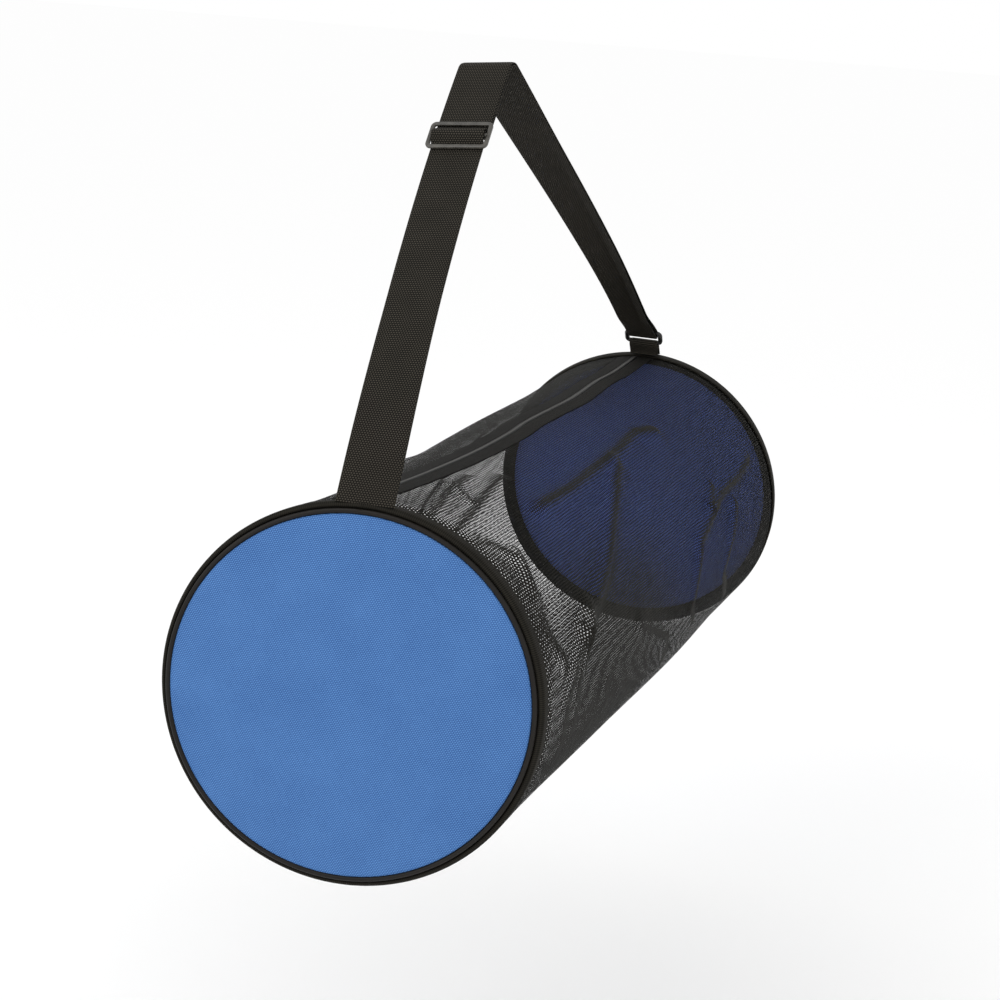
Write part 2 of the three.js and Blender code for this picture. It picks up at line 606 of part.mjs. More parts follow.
// The webbing's path: up through the slider, over the bend, round the ring, back under itself
// and round the slider's middle bar to its sewn end
function strapPath() {
  const layer = WEBBING_THICKNESS + GAP;
  const barHeight = SLIDER_REACH + GAP + HALF_WEB;
  const outerTurn = barHeight + layer;
  const spread = (distance) =>
    lerp(
      LAYER_SPREAD_AT_BEND,
      2 * ringClear,
      lookUp(STRAP_CUP, 'spread', (distance - REAR_FROM) / REAR_RUN),
    );
  const bendAt = (radius, depth) =>
    (radius + depth * Math.cos(SLIDER_CLIMB)) / Math.sin(SLIDER_CLIMB);
  const outerBend = bendAt(outerTurn, barHeight);
  const innerBend = bendAt(barHeight, barHeight + LAYER_SPREAD_AT_BEND);
  const between = (from, to, step, height) => {
    const count = Math.max(1, Math.round((to - from) / step));
    const places = Array.from({ length: count + 1 }, (_, i) => lerp(from, to, i / count));
    return places.map((place) => [place, height(place)]);
  };
  const level = () => 0;
  const lower = (distance) => -spread(distance);
  const clearOfBars = SLIDER_BAR_PITCH * 2;
  const bendStep = BEND_RUN / TURN_STEPS;
  const ringDrop = spread(STRAP_RUN);
  const under = between(REAR_FROM, STRAP_RUN - ringClear, STRAP_STEP, lower).reverse();
  const underBend = between(FRONT_RUN, REAR_FROM, bendStep, lower).reverse();
  const toSlider = between(SLIDER_AT + clearOfBars, FRONT_RUN, STRAP_STEP, lower).reverse();
  const endHeight = -2 * LAYER_SPREAD_AT_BEND;
  const loopLeaves = -barHeight * Math.sin(LOOP_EXIT);
  const loopDrop = barHeight + barHeight * Math.cos(LOOP_EXIT) - endHeight;
  return [
    ...between(0, WEBBING_THICKNESS * 2, WEBBING_THICKNESS * 2, level),
    ...between(WEBBING_THICKNESS * 6, SLIDER_AT - clearOfBars, STRAP_STEP, level),
    [SLIDER_AT - outerBend, 0],
    ...aroundBar(SLIDER_AT, barHeight, outerTurn, -SLIDER_CLIMB, SLIDER_CLIMB),
    [SLIDER_AT + outerBend, 0],
    ...between(SLIDER_AT + clearOfBars, FRONT_RUN, STRAP_STEP, level).slice(0, -1),
    ...between(FRONT_RUN, REAR_FROM, bendStep, level),
    ...between(REAR_FROM, STRAP_RUN - ringClear, STRAP_STEP, level).slice(1),
    ...aroundBar(STRAP_RUN, -ringDrop / 2, ringDrop / 2, 0, Math.PI),
    ...under,
    ...underBend.slice(1),
    ...toSlider.slice(1),
    [SLIDER_AT + innerBend, -LAYER_SPREAD_AT_BEND],
    ...aroundBar(SLIDER_AT, barHeight, barHeight, SLIDER_CLIMB, -LOOP_EXIT),
    [SLIDER_AT + loopLeaves + loopDrop / Math.tan(Math.PI - LOOP_EXIT), endHeight],
    [SLIDER_AT + SEWN_END, endHeight],
  ];
}

// A webbing laid along a flat path: its two faces lie to the left and right of the path
function webbingGeometry(path, thickness, places, toSpace) {
  const points = path.map(([x, y]) => new THREE.Vector2(x, y));
  const directions = points.slice(1).map((point, i) => point.clone().sub(points[i]).normalize());
  const face = (side) =>
    points.map((point, i) => {
      const before = directions[Math.max(i - 1, 0)];
      const after = directions[Math.min(i, directions.length - 1)];
      const middle = before.clone().add(after).normalize();
      const reach = (side * thickness) / 2 / Math.max(middle.dot(after), MITRE_LIMIT);
      const [x, y] = [point.x - middle.y * reach, point.y + middle.x * reach];
      return places.map((place) => toSpace(x, y, place));
    });
  return sheetGeometry(face(1), face(-1));
}

// The tab: from its patch on the band up in front of the ring's lower bar, over it and down again
function tabPath() {
  const bar = new THREE.Vector2(ringUp.y, ringUp.z).multiplyScalar(TAB_RISE);
  const turn = RING_REACH + GAP + TAB_THICKNESS / 2;
  const up = new THREE.Vector2(ringUp.y, ringUp.z);
  const ahead = new THREE.Vector2(-up.y, up.x);
  const footOf = (side) => {
    const start = bar.clone().addScaledVector(ahead, side * turn);
    return start.addScaledVector(up, -start.y / up.y);
  };
  const over = Array.from({ length: TURN_STEPS + 1 }, (_, i) => {
    const angle = (Math.PI * i) / TURN_STEPS;
    const point = bar.clone().addScaledVector(ahead, turn * Math.cos(angle));
    return point.addScaledVector(up, turn * Math.sin(angle));
  });
  const foot = footOf(1);
  const points = [new THREE.Vector2(-TAB_PATCH, 0), foot, ...over, footOf(-1)];
  return points.map((point) => [point.x, point.y]);
}

function tabPoint(back, height, place) {
  const point = tabFoot.clone().addScaledVector(acrossRear, (place * TAB_WIDTH) / 2);
  return point.add(vector(0, back, height));
}

// Places a piece with its own x, y and z along three directions
function setFrame(piece, point, right, forward, up) {
  piece.quaternion.setFromRotationMatrix(new THREE.Matrix4().makeBasis(right, forward, up));
  piece.position.copy(point);
}

const BLUE = 0x487cbe;
const BLACK = 0x1c1b1a;
addPiece('front_panel', panelGeometry(FRONT_RIM, -1).applyMatrix4(FRONT_LEAN), material(BLUE, 0.8));
addPiece('rear_panel', pullUp(panelGeometry(REAR_RIM, 1)).applyMatrix4(REAR_LEAN), material(BLUE, 0.8));
addPiece('front_piping', pipingGeometry(FRONT_RIM).applyMatrix4(FRONT_LEAN), material(BLACK, 0.4));
addPiece('rear_piping', pullUp(pipingGeometry(REAR_RIM)).applyMatrix4(REAR_LEAN), material(BLACK, 0.4));
addPiece('front_rim_band', bandGeometry(FRONT_BAND_WIDTH, (share) => share), material(BLACK, 0.8));
addPiece('rear_rim_band', bandGeometry(REAR_BAND_WIDTH, (share) => 1 - share), material(BLACK, 0.8));
addPiece('net_wall', netGeometry(), material(0x24262a, 0.7));
addPiece('zip_tape_left', tapeGeometry(-1), material(BLACK, 0.8));
addPiece('zip_tape_right', tapeGeometry(1), material(BLACK, 0.8));
addPiece('zip_coil', coilGeometry(), material(BLACK, 0.5));

// The zip's slider stands on the coil just behind the front band, its pull along the zip
const zipPlace = (distance) => {
  const along = (FRONT_BAND_WIDTH + distance) / BAG_LENGTH;
  return bagPoint(along, zipAngle(along), skin(along, zipAngle(along)) + COIL_RISE + GAP);
};
const zipFoot = zipPlace(ZIP_SLIDER_FROM_BAND - ZIP_SLIDER_LENGTH / 2);
const pullEnd = zipPlace(ZIP_SLIDER_FROM_BAND + ZIP_SLIDER_LENGTH / 2 + ZIP_PULL_LENGTH);
const zipHeading = pullEnd.sub(zipFoot).normalize();
const zipAcross = zipHeading.clone().cross(UP).normalize();
const zipUp = zipAcross.clone().cross(zipHeading);
const zipSlider = addPiece('zip_slider', zipSliderGeometry(), material(0x2a2a2a, 0.4));
zipFoot.addScaledVector(zipHeading, ZIP_SLIDER_LENGTH / 2);
setFrame(zipSlider, zipFoot, zipAcross, zipHeading, zipUp);

const strapShape = webbingGeometry(strapPath(), WEBBING_THICKNESS, ACROSS_STRAP, strapPoint);
addPiece('shoulder_strap', strapShape, material(0x28261f, 0.85));

const sliderAt = strapFrame(SLIDER_AT);
const innerWidth = WEBBING_WIDTH / 2 + SLIDER_CLEARANCE;
const barEdge = SLIDER_BAR / 2;
const sliderShape = frameGeometry(
  2 * (innerWidth + SLIDER_BAR),
  2 * (SLIDER_BAR_PITCH + barEdge),
  SLIDER_THICKNESS,
  SLIDER_CORNER,
  SLIDER_BEVEL,
  [
    [-innerWidth, innerWidth, barEdge, SLIDER_BAR_PITCH - barEdge],
    [-innerWidth, innerWidth, barEdge - SLIDER_BAR_PITCH, -barEdge],
  ],
);
const strapSlider = addPiece('strap_slider', sliderShape, material(0x55554b, 0.35));
const sliderMiddle = sliderAt.point.addScaledVector(sliderAt.normal, SLIDER_REACH + GAP + HALF_WEB);
setFrame(strapSlider, sliderMiddle, sliderAt.across, sliderAt.along, sliderAt.normal);

const ringInside = [RING_WIDTH / 2 - RING_WIRE, (RING_BAR_PITCH - RING_WIRE) / 2];
const ringShape = frameGeometry(
  RING_WIDTH,
  RING_BAR_PITCH + RING_WIRE,
  RING_WIRE,
  RING_CORNER,
  RING_BEVEL,
  [[-ringInside[0], ringInside[0], -ringInside[1], ringInside[1]]],
);
const ring = addPiece('rear_ring', ringShape, material(0x303030, 0.35));
const ringFront = acrossRear.clone().cross(ringUp).normalize();
const ringMiddle = lowerBar.clone().lerp(upperBar, 0.5);
setFrame(ring, ringMiddle, acrossRear, ringFront.clone().cross(acrossRear), ringFront);

const tabShape = webbingGeometry(tabPath(), TAB_THICKNESS, [-1, 0, 1], tabPoint);
addPiece('rear_tab', tabShape, material(0x28261f, 0.85));

// The origin is the inside of the bend, under the strap's two layers
const hangingPoint = bendMiddle
  .clone()
  .addScaledVector(bendTop, BEND_RADIUS - LAYER_SPREAD_AT_BEND - HALF_WEB);
bag.position.copy(hangingPoint).negate();

const capBag = new THREE.Group();
capBag.add(bag);
export default capBag;
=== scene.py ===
"""Looks for the water polo cap bag: net, cloth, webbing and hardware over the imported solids.

Shapes are worked out in millimetres from the middle of the front panel, +Y towards the rear
panel and +Z up, as in the part's source, and are put into the frame in metres at the end.
"""

import math

import bmesh
import bpy
import numpy as np
from mathutils import Matrix, Quaternion, Vector


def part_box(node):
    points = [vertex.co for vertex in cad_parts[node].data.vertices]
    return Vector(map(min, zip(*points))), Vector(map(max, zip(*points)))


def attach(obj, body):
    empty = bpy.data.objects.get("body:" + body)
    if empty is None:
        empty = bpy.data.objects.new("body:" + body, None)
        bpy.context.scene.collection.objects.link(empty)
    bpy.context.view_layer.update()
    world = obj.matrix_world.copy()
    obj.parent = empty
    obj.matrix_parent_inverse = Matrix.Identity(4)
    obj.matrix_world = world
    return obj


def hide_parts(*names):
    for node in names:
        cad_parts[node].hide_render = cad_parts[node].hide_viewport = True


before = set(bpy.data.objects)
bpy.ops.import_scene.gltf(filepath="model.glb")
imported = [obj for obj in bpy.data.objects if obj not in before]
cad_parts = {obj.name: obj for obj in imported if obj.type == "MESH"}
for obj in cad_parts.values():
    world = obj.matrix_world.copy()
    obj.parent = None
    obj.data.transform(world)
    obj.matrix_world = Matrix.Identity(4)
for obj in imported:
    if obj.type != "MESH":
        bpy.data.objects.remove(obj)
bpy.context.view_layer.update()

MM = 0.001

# The bag's two ends and the length between them
GAP = 0.3
BAG_LENGTH = 600
FRONT_RIM = 121
REAR_RIM = 130
FRONT_TURN = math.radians(8.6)
FRONT_TIP = math.radians(3.9)
REAR_TURN = math.radians(2.6)
REAR_TIP = math.radians(-6.1)

# The round panels, and the slow ripple of their cloth
PANEL_THICKNESS = 1.5
PANEL_CROWN = 4
PANEL_RIPPLE = 0.35
PANEL_RIPPLE_ACROSS = 31
PANEL_RIPPLE_UP = 43
PANEL_RINGS = 30
PANEL_EDGE_RINGS = 10
PANEL_FIRST_RING = 0.02
PANEL_EDGE_FROM = 0.9
PANEL_EDGE_STEP = 0.015

# The piping, the rim bands and the binding inside each end seam
PIPING_DIAMETER = 3.2
PIPING_SIDES = 16
FRONT_BAND_WIDTH = 10
REAR_BAND_WIDTH = 12
BAND_THICKNESS = 1.5
BAND_ROLL = 0.5
BAND_ROLL_WIDTH = 1.5
SEAM_WIDTH = 3.5
SEAM_PAST_RIM = 1
SEAM_THICKNESS = 0.8
SEAM_RINGS = 7

# How the tab pulls the rear end up, and how that end draws in away from the pull
TAB_PULL = 4
TAB_PULL_AT = math.radians(25)
TAB_PULL_FOCUS = 3
TAB_PULL_FROM = 0.72
DRAW_IN = 5
DRAW_IN_FROM = 0.55
DRAW_IN_AWAY_FROM = math.radians(45)

# Where the net and the zip rise from under the rim bands
TUCK_START = 1.5
TUCK_END = 9

# The zip
TAPE_WIDTH = 12
TAPE_THICKNESS = 0.9
TAPE_COLUMNS = 9
COIL_WIDTH = 5
COIL_THICKNESS = 1.6
COIL_CROWN = 0.35
COIL_COLUMNS = 13
TAPE_ROWS = 260
COIL_ROWS = 240

# The strap's webbing, its bend and its two stretches
WEBBING_WIDTH = 38
WEBBING_THICKNESS = 1.2
WEBBING_EDGE = 0.985
EDGE_POWER = 24
EDGE_SHARE = 0.12
SHARPEST_MITRE = 0.7
WEBBING_COLUMNS = 25
STRAP_SEAT = 2.6
STRAP_TAIL = 3
EASE_BEFORE = 2
EASE_AFTER = 1
EASE_RISE = 0.6
PEAK_ALONG = 0.375
PEAK_SIDE = -24
PEAK_HEIGHT = 385
BEND_RADIUS = 11
BEND_TILT = math.radians(5)
BOW_OUT = 0.09
BOW_SIDE = -0.03
TWIST_SHARE = 0.45
REAR_BOW_SIDE = 12
REAR_BOW_UP = 4
LAYER_SPREAD_AT_BEND = 1.7

# The strap's slider, the ring and the tab
SLIDER_ALONG = 0.812
SLIDER_BAR_PITCH = 9.5
SLIDER_BAR = 3
SLIDER_THICKNESS = 2.4
SLIDER_BEVEL = 0.6
SLIDER_CORNER = 4
SLIDER_CLEARANCE = 0.5
SLIDER_CLIMB = math.radians(44)
MIDDLE_BAR_SHARE = 0.96
BAR_SQUARENESS = 0.6
SEWN_END = 24
LOOP_EXIT = math.radians(150)
RING_WIRE = 3.8
RING_BEVEL = 1.1
RING_BAR_PITCH = 11.2
RING_LEAN = math.radians(33)
RING_SIDE = 5.5
TAB_WIDTH = 25
TAB_THICKNESS = 1.4
TAB_RISE = 12
TAB_FROM_RIM = 7
TAB_PATCH = 5
TAB_EASE = 2
TAB_COLUMNS = 13
TAB_TURN_STEPS = 24
HARDWARE_ROUNDING = 0.35

# The body's radius and sag along its length, as shares of the rim's radius there
BODY = {
    "along": [
        0, 0.0035, 0.0167, 0.03, 0.05, 0.08, 0.14, 0.2, 0.34, 0.53, 0.67, 0.79, 0.89, 0.95, 0.98, 0.9965, 1,
    ],
    "radius": [
        1.017, 1.032, 1.029, 1.027, 1.019, 1.011, 1.001, 0.995, 0.987,
        0.997, 1.003, 1.004, 1.014, 1.019, 1.026, 1.026, 1.016,
    ],
    "sag": [
        0, 0, 0.002, 0.005, 0.01, 0.016, 0.025, 0.033, 0.044, 0.04, 0.036, 0.029, 0.024, 0.02, 0.012, 0, 0,
    ],
}
SAG_ANGLE = math.radians(124)

# The zip's wave: its angle from the top, in degrees, along the bag's length
ZIP_WAVE = {
    "along": [0, 0.12, 0.25, 0.44, 0.5, 0.66, 0.8, 0.87, 1],
    "angle": [-6, -4.3, -2.3, -0.8, -1.4, 0.1, -1.6, -0.1, -0.2],
}

# The rear stretch of the strap cups towards the ring, as in the part's source
STRAP_CUP = {
    "along": [0, 0.3, 0.6, 0.88, 0.97, 1],
    "width": [1, 0.9, 0.79, 0.68, 0.675, 0.675],
    "crease": [0.9, 0.8, 0.7, 0.62, 0.6, 0.6],
    "drop": [0, 0.05, 0.13, 0.18, 0.04, 0],
    "spread": [0, 0.07, 0.22, 0.5, 0.85, 1],
}

# Folds of the net: degrees from the top and shares of the length along each fold's line, then
# its height and half width in millimetres
FOLDS = [
    ([0, 13, 22], [0.18, 0.14, 0.11], 2.4, 5),
    ([16, 19, 22, 27], [0.26, 0.18, 0.12, 0.0], 2.4, 7),
    ([9, 12, 18], [0.22, 0.12, 0.01], 2.4, 7),
    ([31, 35, 43, 49, 59], [0.01, 0.05, 0.07, 0.06, 0.05], 2, 6),
    ([68, 75, 86], [0.13, 0.14, 0.12], 2, 6),
    ([33, 34, 33, 32, 30, 35], [0.18, 0.31, 0.4, 0.51, 0.6, 0.69], 6, 8),
    ([34, 40, 51, 61, 72, 79, 90, 113], [0.5, 0.44, 0.34, 0.26, 0.15, 0.1, 0.07, 0.1], 4.5, 8),
    ([38, 47, 57, 67, 80], [0.09, 0.06, 0.04, 0.04, 0.08], 3.5, 6),
    ([62, 77, 86, 109], [0.18, 0.13, 0.11, 0.12], 3.5, 6),
    ([60, 65, 66, 75, 85, 97, 108], [0.92, 0.81, 0.72, 0.59, 0.57, 0.56, 0.6], 4.5, 7),
    ([60, 68], [0.71, 0.66], 3, 6),
    ([69, 78, 87, 95, 116], [0.78, 0.76, 0.73, 0.71, 0.81], 4.5, 7),
    ([84, 100, 116], [0.31, 0.46, 0.5], 4, 8),
    ([94, 108], [0.21, 0.25], 3, 6),
    ([-40, -62, -80], [0.46, 0.3, 0.14], 4, 9),
    ([-55, -84, -110], [0.86, 0.68, 0.6], 4, 9),
    ([170, 186, 204], [0.25, 0.5, 0.72], 3, 10),
]

# Angles past this one count as turned the other way from the top
UNDERSIDE = math.radians(220)

# The folds taper over a share of their line at its ends, rise over a distance in millimetres
# from the bands and the zip, and flatten towards the right side
FOLD_TAPER = 0.08
FOLD_START = 2
FOLD_FULL = 26
FOLD_FULL_AT_ZIP = 16
FLAT_FROM = math.radians(70)
FLAT_FULL = math.radians(100)
FLATTENED = 0.85

# Where a fold pinches the net: the share of its half width, the height of fold that closes the
# holes fully, and how far from a band or the zip the pinch is full
PINCH_WIDTH = 0.4
PINCH_HEIGHT = 2.4
PINCH_FULL = 5

# The camera, at the photo's viewing angle
CAMERA_EYE = (444.7, -953.1, 418.7)
CAMERA_HEADING = math.radians(20.32)
CAMERA_DIP = math.radians(15.14)
CAMERA_ROLL = math.radians(4.2)
CAMERA_SENSOR = 36
CAMERA_LENS = 64.61

# The floor: its drop below the bag in millimetres, its reach in metres and its shade
FLOOR_DROP = 260
FLOOR_REACH = 60
FLOOR_SHADE = 0.985

# The soft lights: each one's place and side in metres, and its power in watts
LIGHTS = [
    ("key light", (-0.9, -1.3, 0.9), 1.2, 9),
    ("fill light", (1.4, -0.9, 0.2), 1.4, 2),
]

# The net's wall: its thickness and how far it lies under the skin, in millimetres, and its grid
NET_DEPTH = 0.15
NET_SEAT = 0.4
NET_ROWS = 180
NET_COLUMNS = 240

# The net's knit: its pitch and how far its threads stray, in millimetres
NET_PITCH = 2.2
STRAY_ACROSS = 1.4
STRAY_ALONG = -1.1

# As shares of the pitch: the step between rows, what a row's width counts for in a hole's shape,
# the radius of holes, their soft edge and the threads' crown
NET_ROW_SHARE = 0.866
NET_ROW_WEIGHT = 0.9
NET_HOLE = 0.385
STRETCHED_HOLE = 0.46
PINCHED_HOLE = 0.12
HOLE_EDGE = 0.02
THREAD_CROWN = 0.14

# How much the net crowds beside the front band, its holes closed partly by real crowding and partly as
# painted shade of the folds there, and how far in millimetres
CROWDED_AND_SHADED_AT_FRONT = 0.8
CROWDED_AND_SHADED_REACH = 9

# The angles over which the net starts and stops being stretched on the far side
STRETCHED_FROM = (math.radians(190), math.radians(230))
STRETCHED_UNTIL = (math.radians(320), math.radians(345))

# Where the net is bunched and its holes are closed up, partly for real bunched cloth and partly as painted
# shade of the folds: degrees from the top and share of the length, how far the bunching reaches in each,
# and how much it closes the holes
BUNCHED_AND_SHADED = [
    (92, 0.24, 36, 0.22, 0.62),
    (-20, 0.5, 24, 0.9, 0.34),
    (12, 0.06, 9, 0.1, 0.3),
    (56, 0.0, 32, 0.07, 0.8),
]

# How finely surfaces are divided, as steps of millimetres and then as counts
BAND_STEP = 1
STRAP_STEP = 2.5
BEND_STEP = 1
ROUND_STEPS = 256
TURN_STEPS = 18
BAR_SIDES = 16
BAR_ROWS = 12
CORNER_STEPS = 9
CURVE_STEPS = 400

# Pitches of the weaves in millimetres, and how far the webbing's dots shrink to their crests
PANEL_WEAVE = (1.6, 1.2)
WEBBING_WEAVE = (1.8, 1.45)
WEBBING_DOT_FOCUS = 1.8
BAND_RIB = 1.3
TAPE_RIB = 0.9
COIL_TURN = 1.4
PIPING_TWILL = 0.7


def smoothstep(x, low, high):
    share = np.clip((np.asarray(x, float) - low) / (high - low), 0, 1)
    return share * share * (3 - 2 * share)


def lerp(a, b, share):
    return a + (b - a) * share


def look_up(table, column, along):
    """A column's value on the smooth curve through a table's rows, level at its ends."""
    x = np.array(table["along"], float)
    y = np.array(table[column], float)
    steps = np.diff(y) / np.diff(x)
    before, after = steps[:-1], steps[1:]
    turning = before * after <= 0
    slopes = np.zeros(len(x))
    slopes[1:-1] = np.where(turning, 0, 2 * before * after / np.where(turning, 1, before + after))
    place = np.clip(along, x[0], x[-1])
    row = np.clip(np.searchsorted(x, place, side="left") - 1, 0, len(x) - 2)
    span = x[row + 1] - x[row]
    t = (place - x[row]) / span
    start = (2 * t**3 - 3 * t**2 + 1) * y[row]
    leave = (t**3 - 2 * t**2 + t) * span * slopes[row]
    end = (3 * t**2 - 2 * t**3) * y[row + 1]
    arrive = (t**3 - t**2) * span * slopes[row + 1]
    return start + leave + end + arrive


def rim_at(along):
    return lerp(FRONT_RIM, REAR_RIM, along)


def leaned(x, y, z, at, turn, tip):
    """Points drawn round the bag's axis, turned and tipped into the plane of an end."""
    back = at + y + x * math.sin(turn) + z * math.sin(tip)
    return np.stack([x * math.cos(turn), back, z * math.cos(tip)], axis=-1)


def at_front(x, y, z):
    return leaned(x, y, z, 0, FRONT_TURN, FRONT_TIP)


def at_rear(x, y, z):
    return leaned(x, y, z, BAG_LENGTH, REAR_TURN, REAR_TIP)


def round_front(angle):
    """The front end is round, so nothing stretches it at any angle."""
    return np.ones_like(angle)


def round_rear(angle):
    """How much the tab's pull and the draw-in stretch the rear end at an angle."""
    return 1 + (tab_pull(angle) - draw_in(angle)) / REAR_RIM


def bag_point(along, angle, radius):
    """Points from shares of the length, angles from the top towards +X, and radii."""
    along, angle, radius = np.broadcast_arrays(along, angle, radius)
    x = radius * np.sin(angle)
    z = radius * np.cos(angle)
    return lerp(at_front(x, 0, z), at_rear(x, 0, z), along[..., None])


def tab_pull(angle):
    """How far the tab pulls the rear rim up at an angle from the top."""
    return TAB_PULL * np.exp(TAB_PULL_FOCUS * (np.cos(angle - TAB_PULL_AT) - 1))


def draw_in(angle):
    """How far the rear rim draws in at an angle from the top."""
    return DRAW_IN * (1 - np.cos(angle - DRAW_IN_AWAY_FROM))


def skin(along, angle):
    """The radius of the bag's outside at each place."""
    sag = look_up(BODY, "sag", along) * np.cos(angle - SAG_ANGLE)
    pull = smoothstep(along, TAB_PULL_FROM, 1) * tab_pull(angle)
    push = smoothstep(along, DRAW_IN_FROM, 1) * draw_in(angle)
    return rim_at(along) * (look_up(BODY, "radius", along) + sag) + pull - push


def beyond_band(along):
    """How far a place is from the nearer rim band, less than nothing under the band."""
    width = np.where(along < 0.5, FRONT_BAND_WIDTH, REAR_BAND_WIDTH)
    return np.minimum(along, 1 - along) * BAG_LENGTH - width


def tuck(along):
    """How far the net and the zip lie under the outside, below the rim bands."""
    return (BAND_THICKNESS + GAP) * (1 - smoothstep(beyond_band(along), TUCK_START, TUCK_END))


def zip_angle(along):
    """The angle of the zip's middle from the top."""
    return np.radians(look_up(ZIP_WAVE, "angle", along))


def beside_zip(along, distance):
    """Angles a distance in millimetres to the right of the zip's middle."""
    return zip_angle(along) + distance / skin(along, zip_angle(along))


def to_frame(points):
    """Bag millimetres to frame metres: the front piping's middle is the bag's origin."""
    low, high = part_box("front_piping")
    return np.asarray(points, float) * MM + (np.array(low) + np.array(high)) / 2


def make_object(name, points, faces, uvs=None):
    """A mesh piece from points in bag millimetres; uvs holds one place in millimetres per point."""
    mesh = bpy.data.meshes.new(name)
    mesh.from_pydata(to_frame(points).tolist(), [], [tuple(int(i) for i in face) for face in faces])
    shape = bmesh.new()
    shape.from_mesh(mesh)
    bmesh.ops.recalc_face_normals(shape, faces=shape.faces)
    shape.to_mesh(mesh)
    shape.free()
    if uvs is not None:
        layer = mesh.uv_layers.new(name="UVMap")
        loops = np.empty(len(mesh.loops), dtype=np.int64)
        mesh.loops.foreach_get("vertex_index", loops)
        layer.data.foreach_set("uv", (np.asarray(uvs, float) * MM)[loops].ravel())
    mesh.polygons.foreach_set("use_smooth", [True] * len(mesh.polygons))
    piece = bpy.data.objects.new(name, mesh)
    bpy.context.scene.collection.objects.link(piece)
    return piece


def finish_piece(piece, finish, slot_name, *stands_for):
    """Gives a piece its material and body, and hides the nodes that it stands for."""
    piece.data.materials.append(finish)
    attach(piece, "root")
    if stands_for:
        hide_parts(*stands_for)


def grid_faces(rows, columns, first=0, ring=False, flip=False):
    """Four-sided faces of a grid of points, its rows closed into rings where ring is true."""
    faces = []
    for i in range(rows - 1):
        for j in range(columns if ring else columns - 1):
            a = first + i * columns + j
            b = first + i * columns + (j + 1) % columns
            face = (a, b, b + columns, a + columns)
            faces.append(face[::-1] if flip else face)
    return faces


def closed_tube_faces(rows, columns):
    """Faces of a tube whose last ring meets its first."""
    last = (rows - 1) * columns
    joins = [(last + j, last + (j + 1) % columns, (j + 1) % columns, j) for j in range(columns)]
    return grid_faces(rows, columns, ring=True) + joins


def make_sheet(name, outer, inner, across, along):
    """A closed sheet between two grids of points; across and along are its places in its UVs."""
    rows, columns = outer.shape[:2]
    count = rows * columns
    faces = grid_faces(rows, columns)
    faces += grid_faces(rows, columns, count, flip=True)
    for j in range(columns - 1):
        end = (rows - 1) * columns
        faces.append((j, count + j, count + j + 1, j + 1))
        faces.append((end + j, end + j + 1, count + end + j + 1, count + end + j))
    for i in range(rows - 1):
        a, b = i * columns, (i + 1) * columns
        faces.append((a, b, count + b, count + a))
        a, b = a + columns - 1, b + columns - 1
        faces.append((a, count + a, count + b, b))
    points = np.concatenate([outer.reshape(-1, 3), inner.reshape(-1, 3)])
    flat = np.stack([across, along], axis=-1).reshape(-1, 2)
    return make_object(name, points, faces, np.concatenate([flat, flat]))


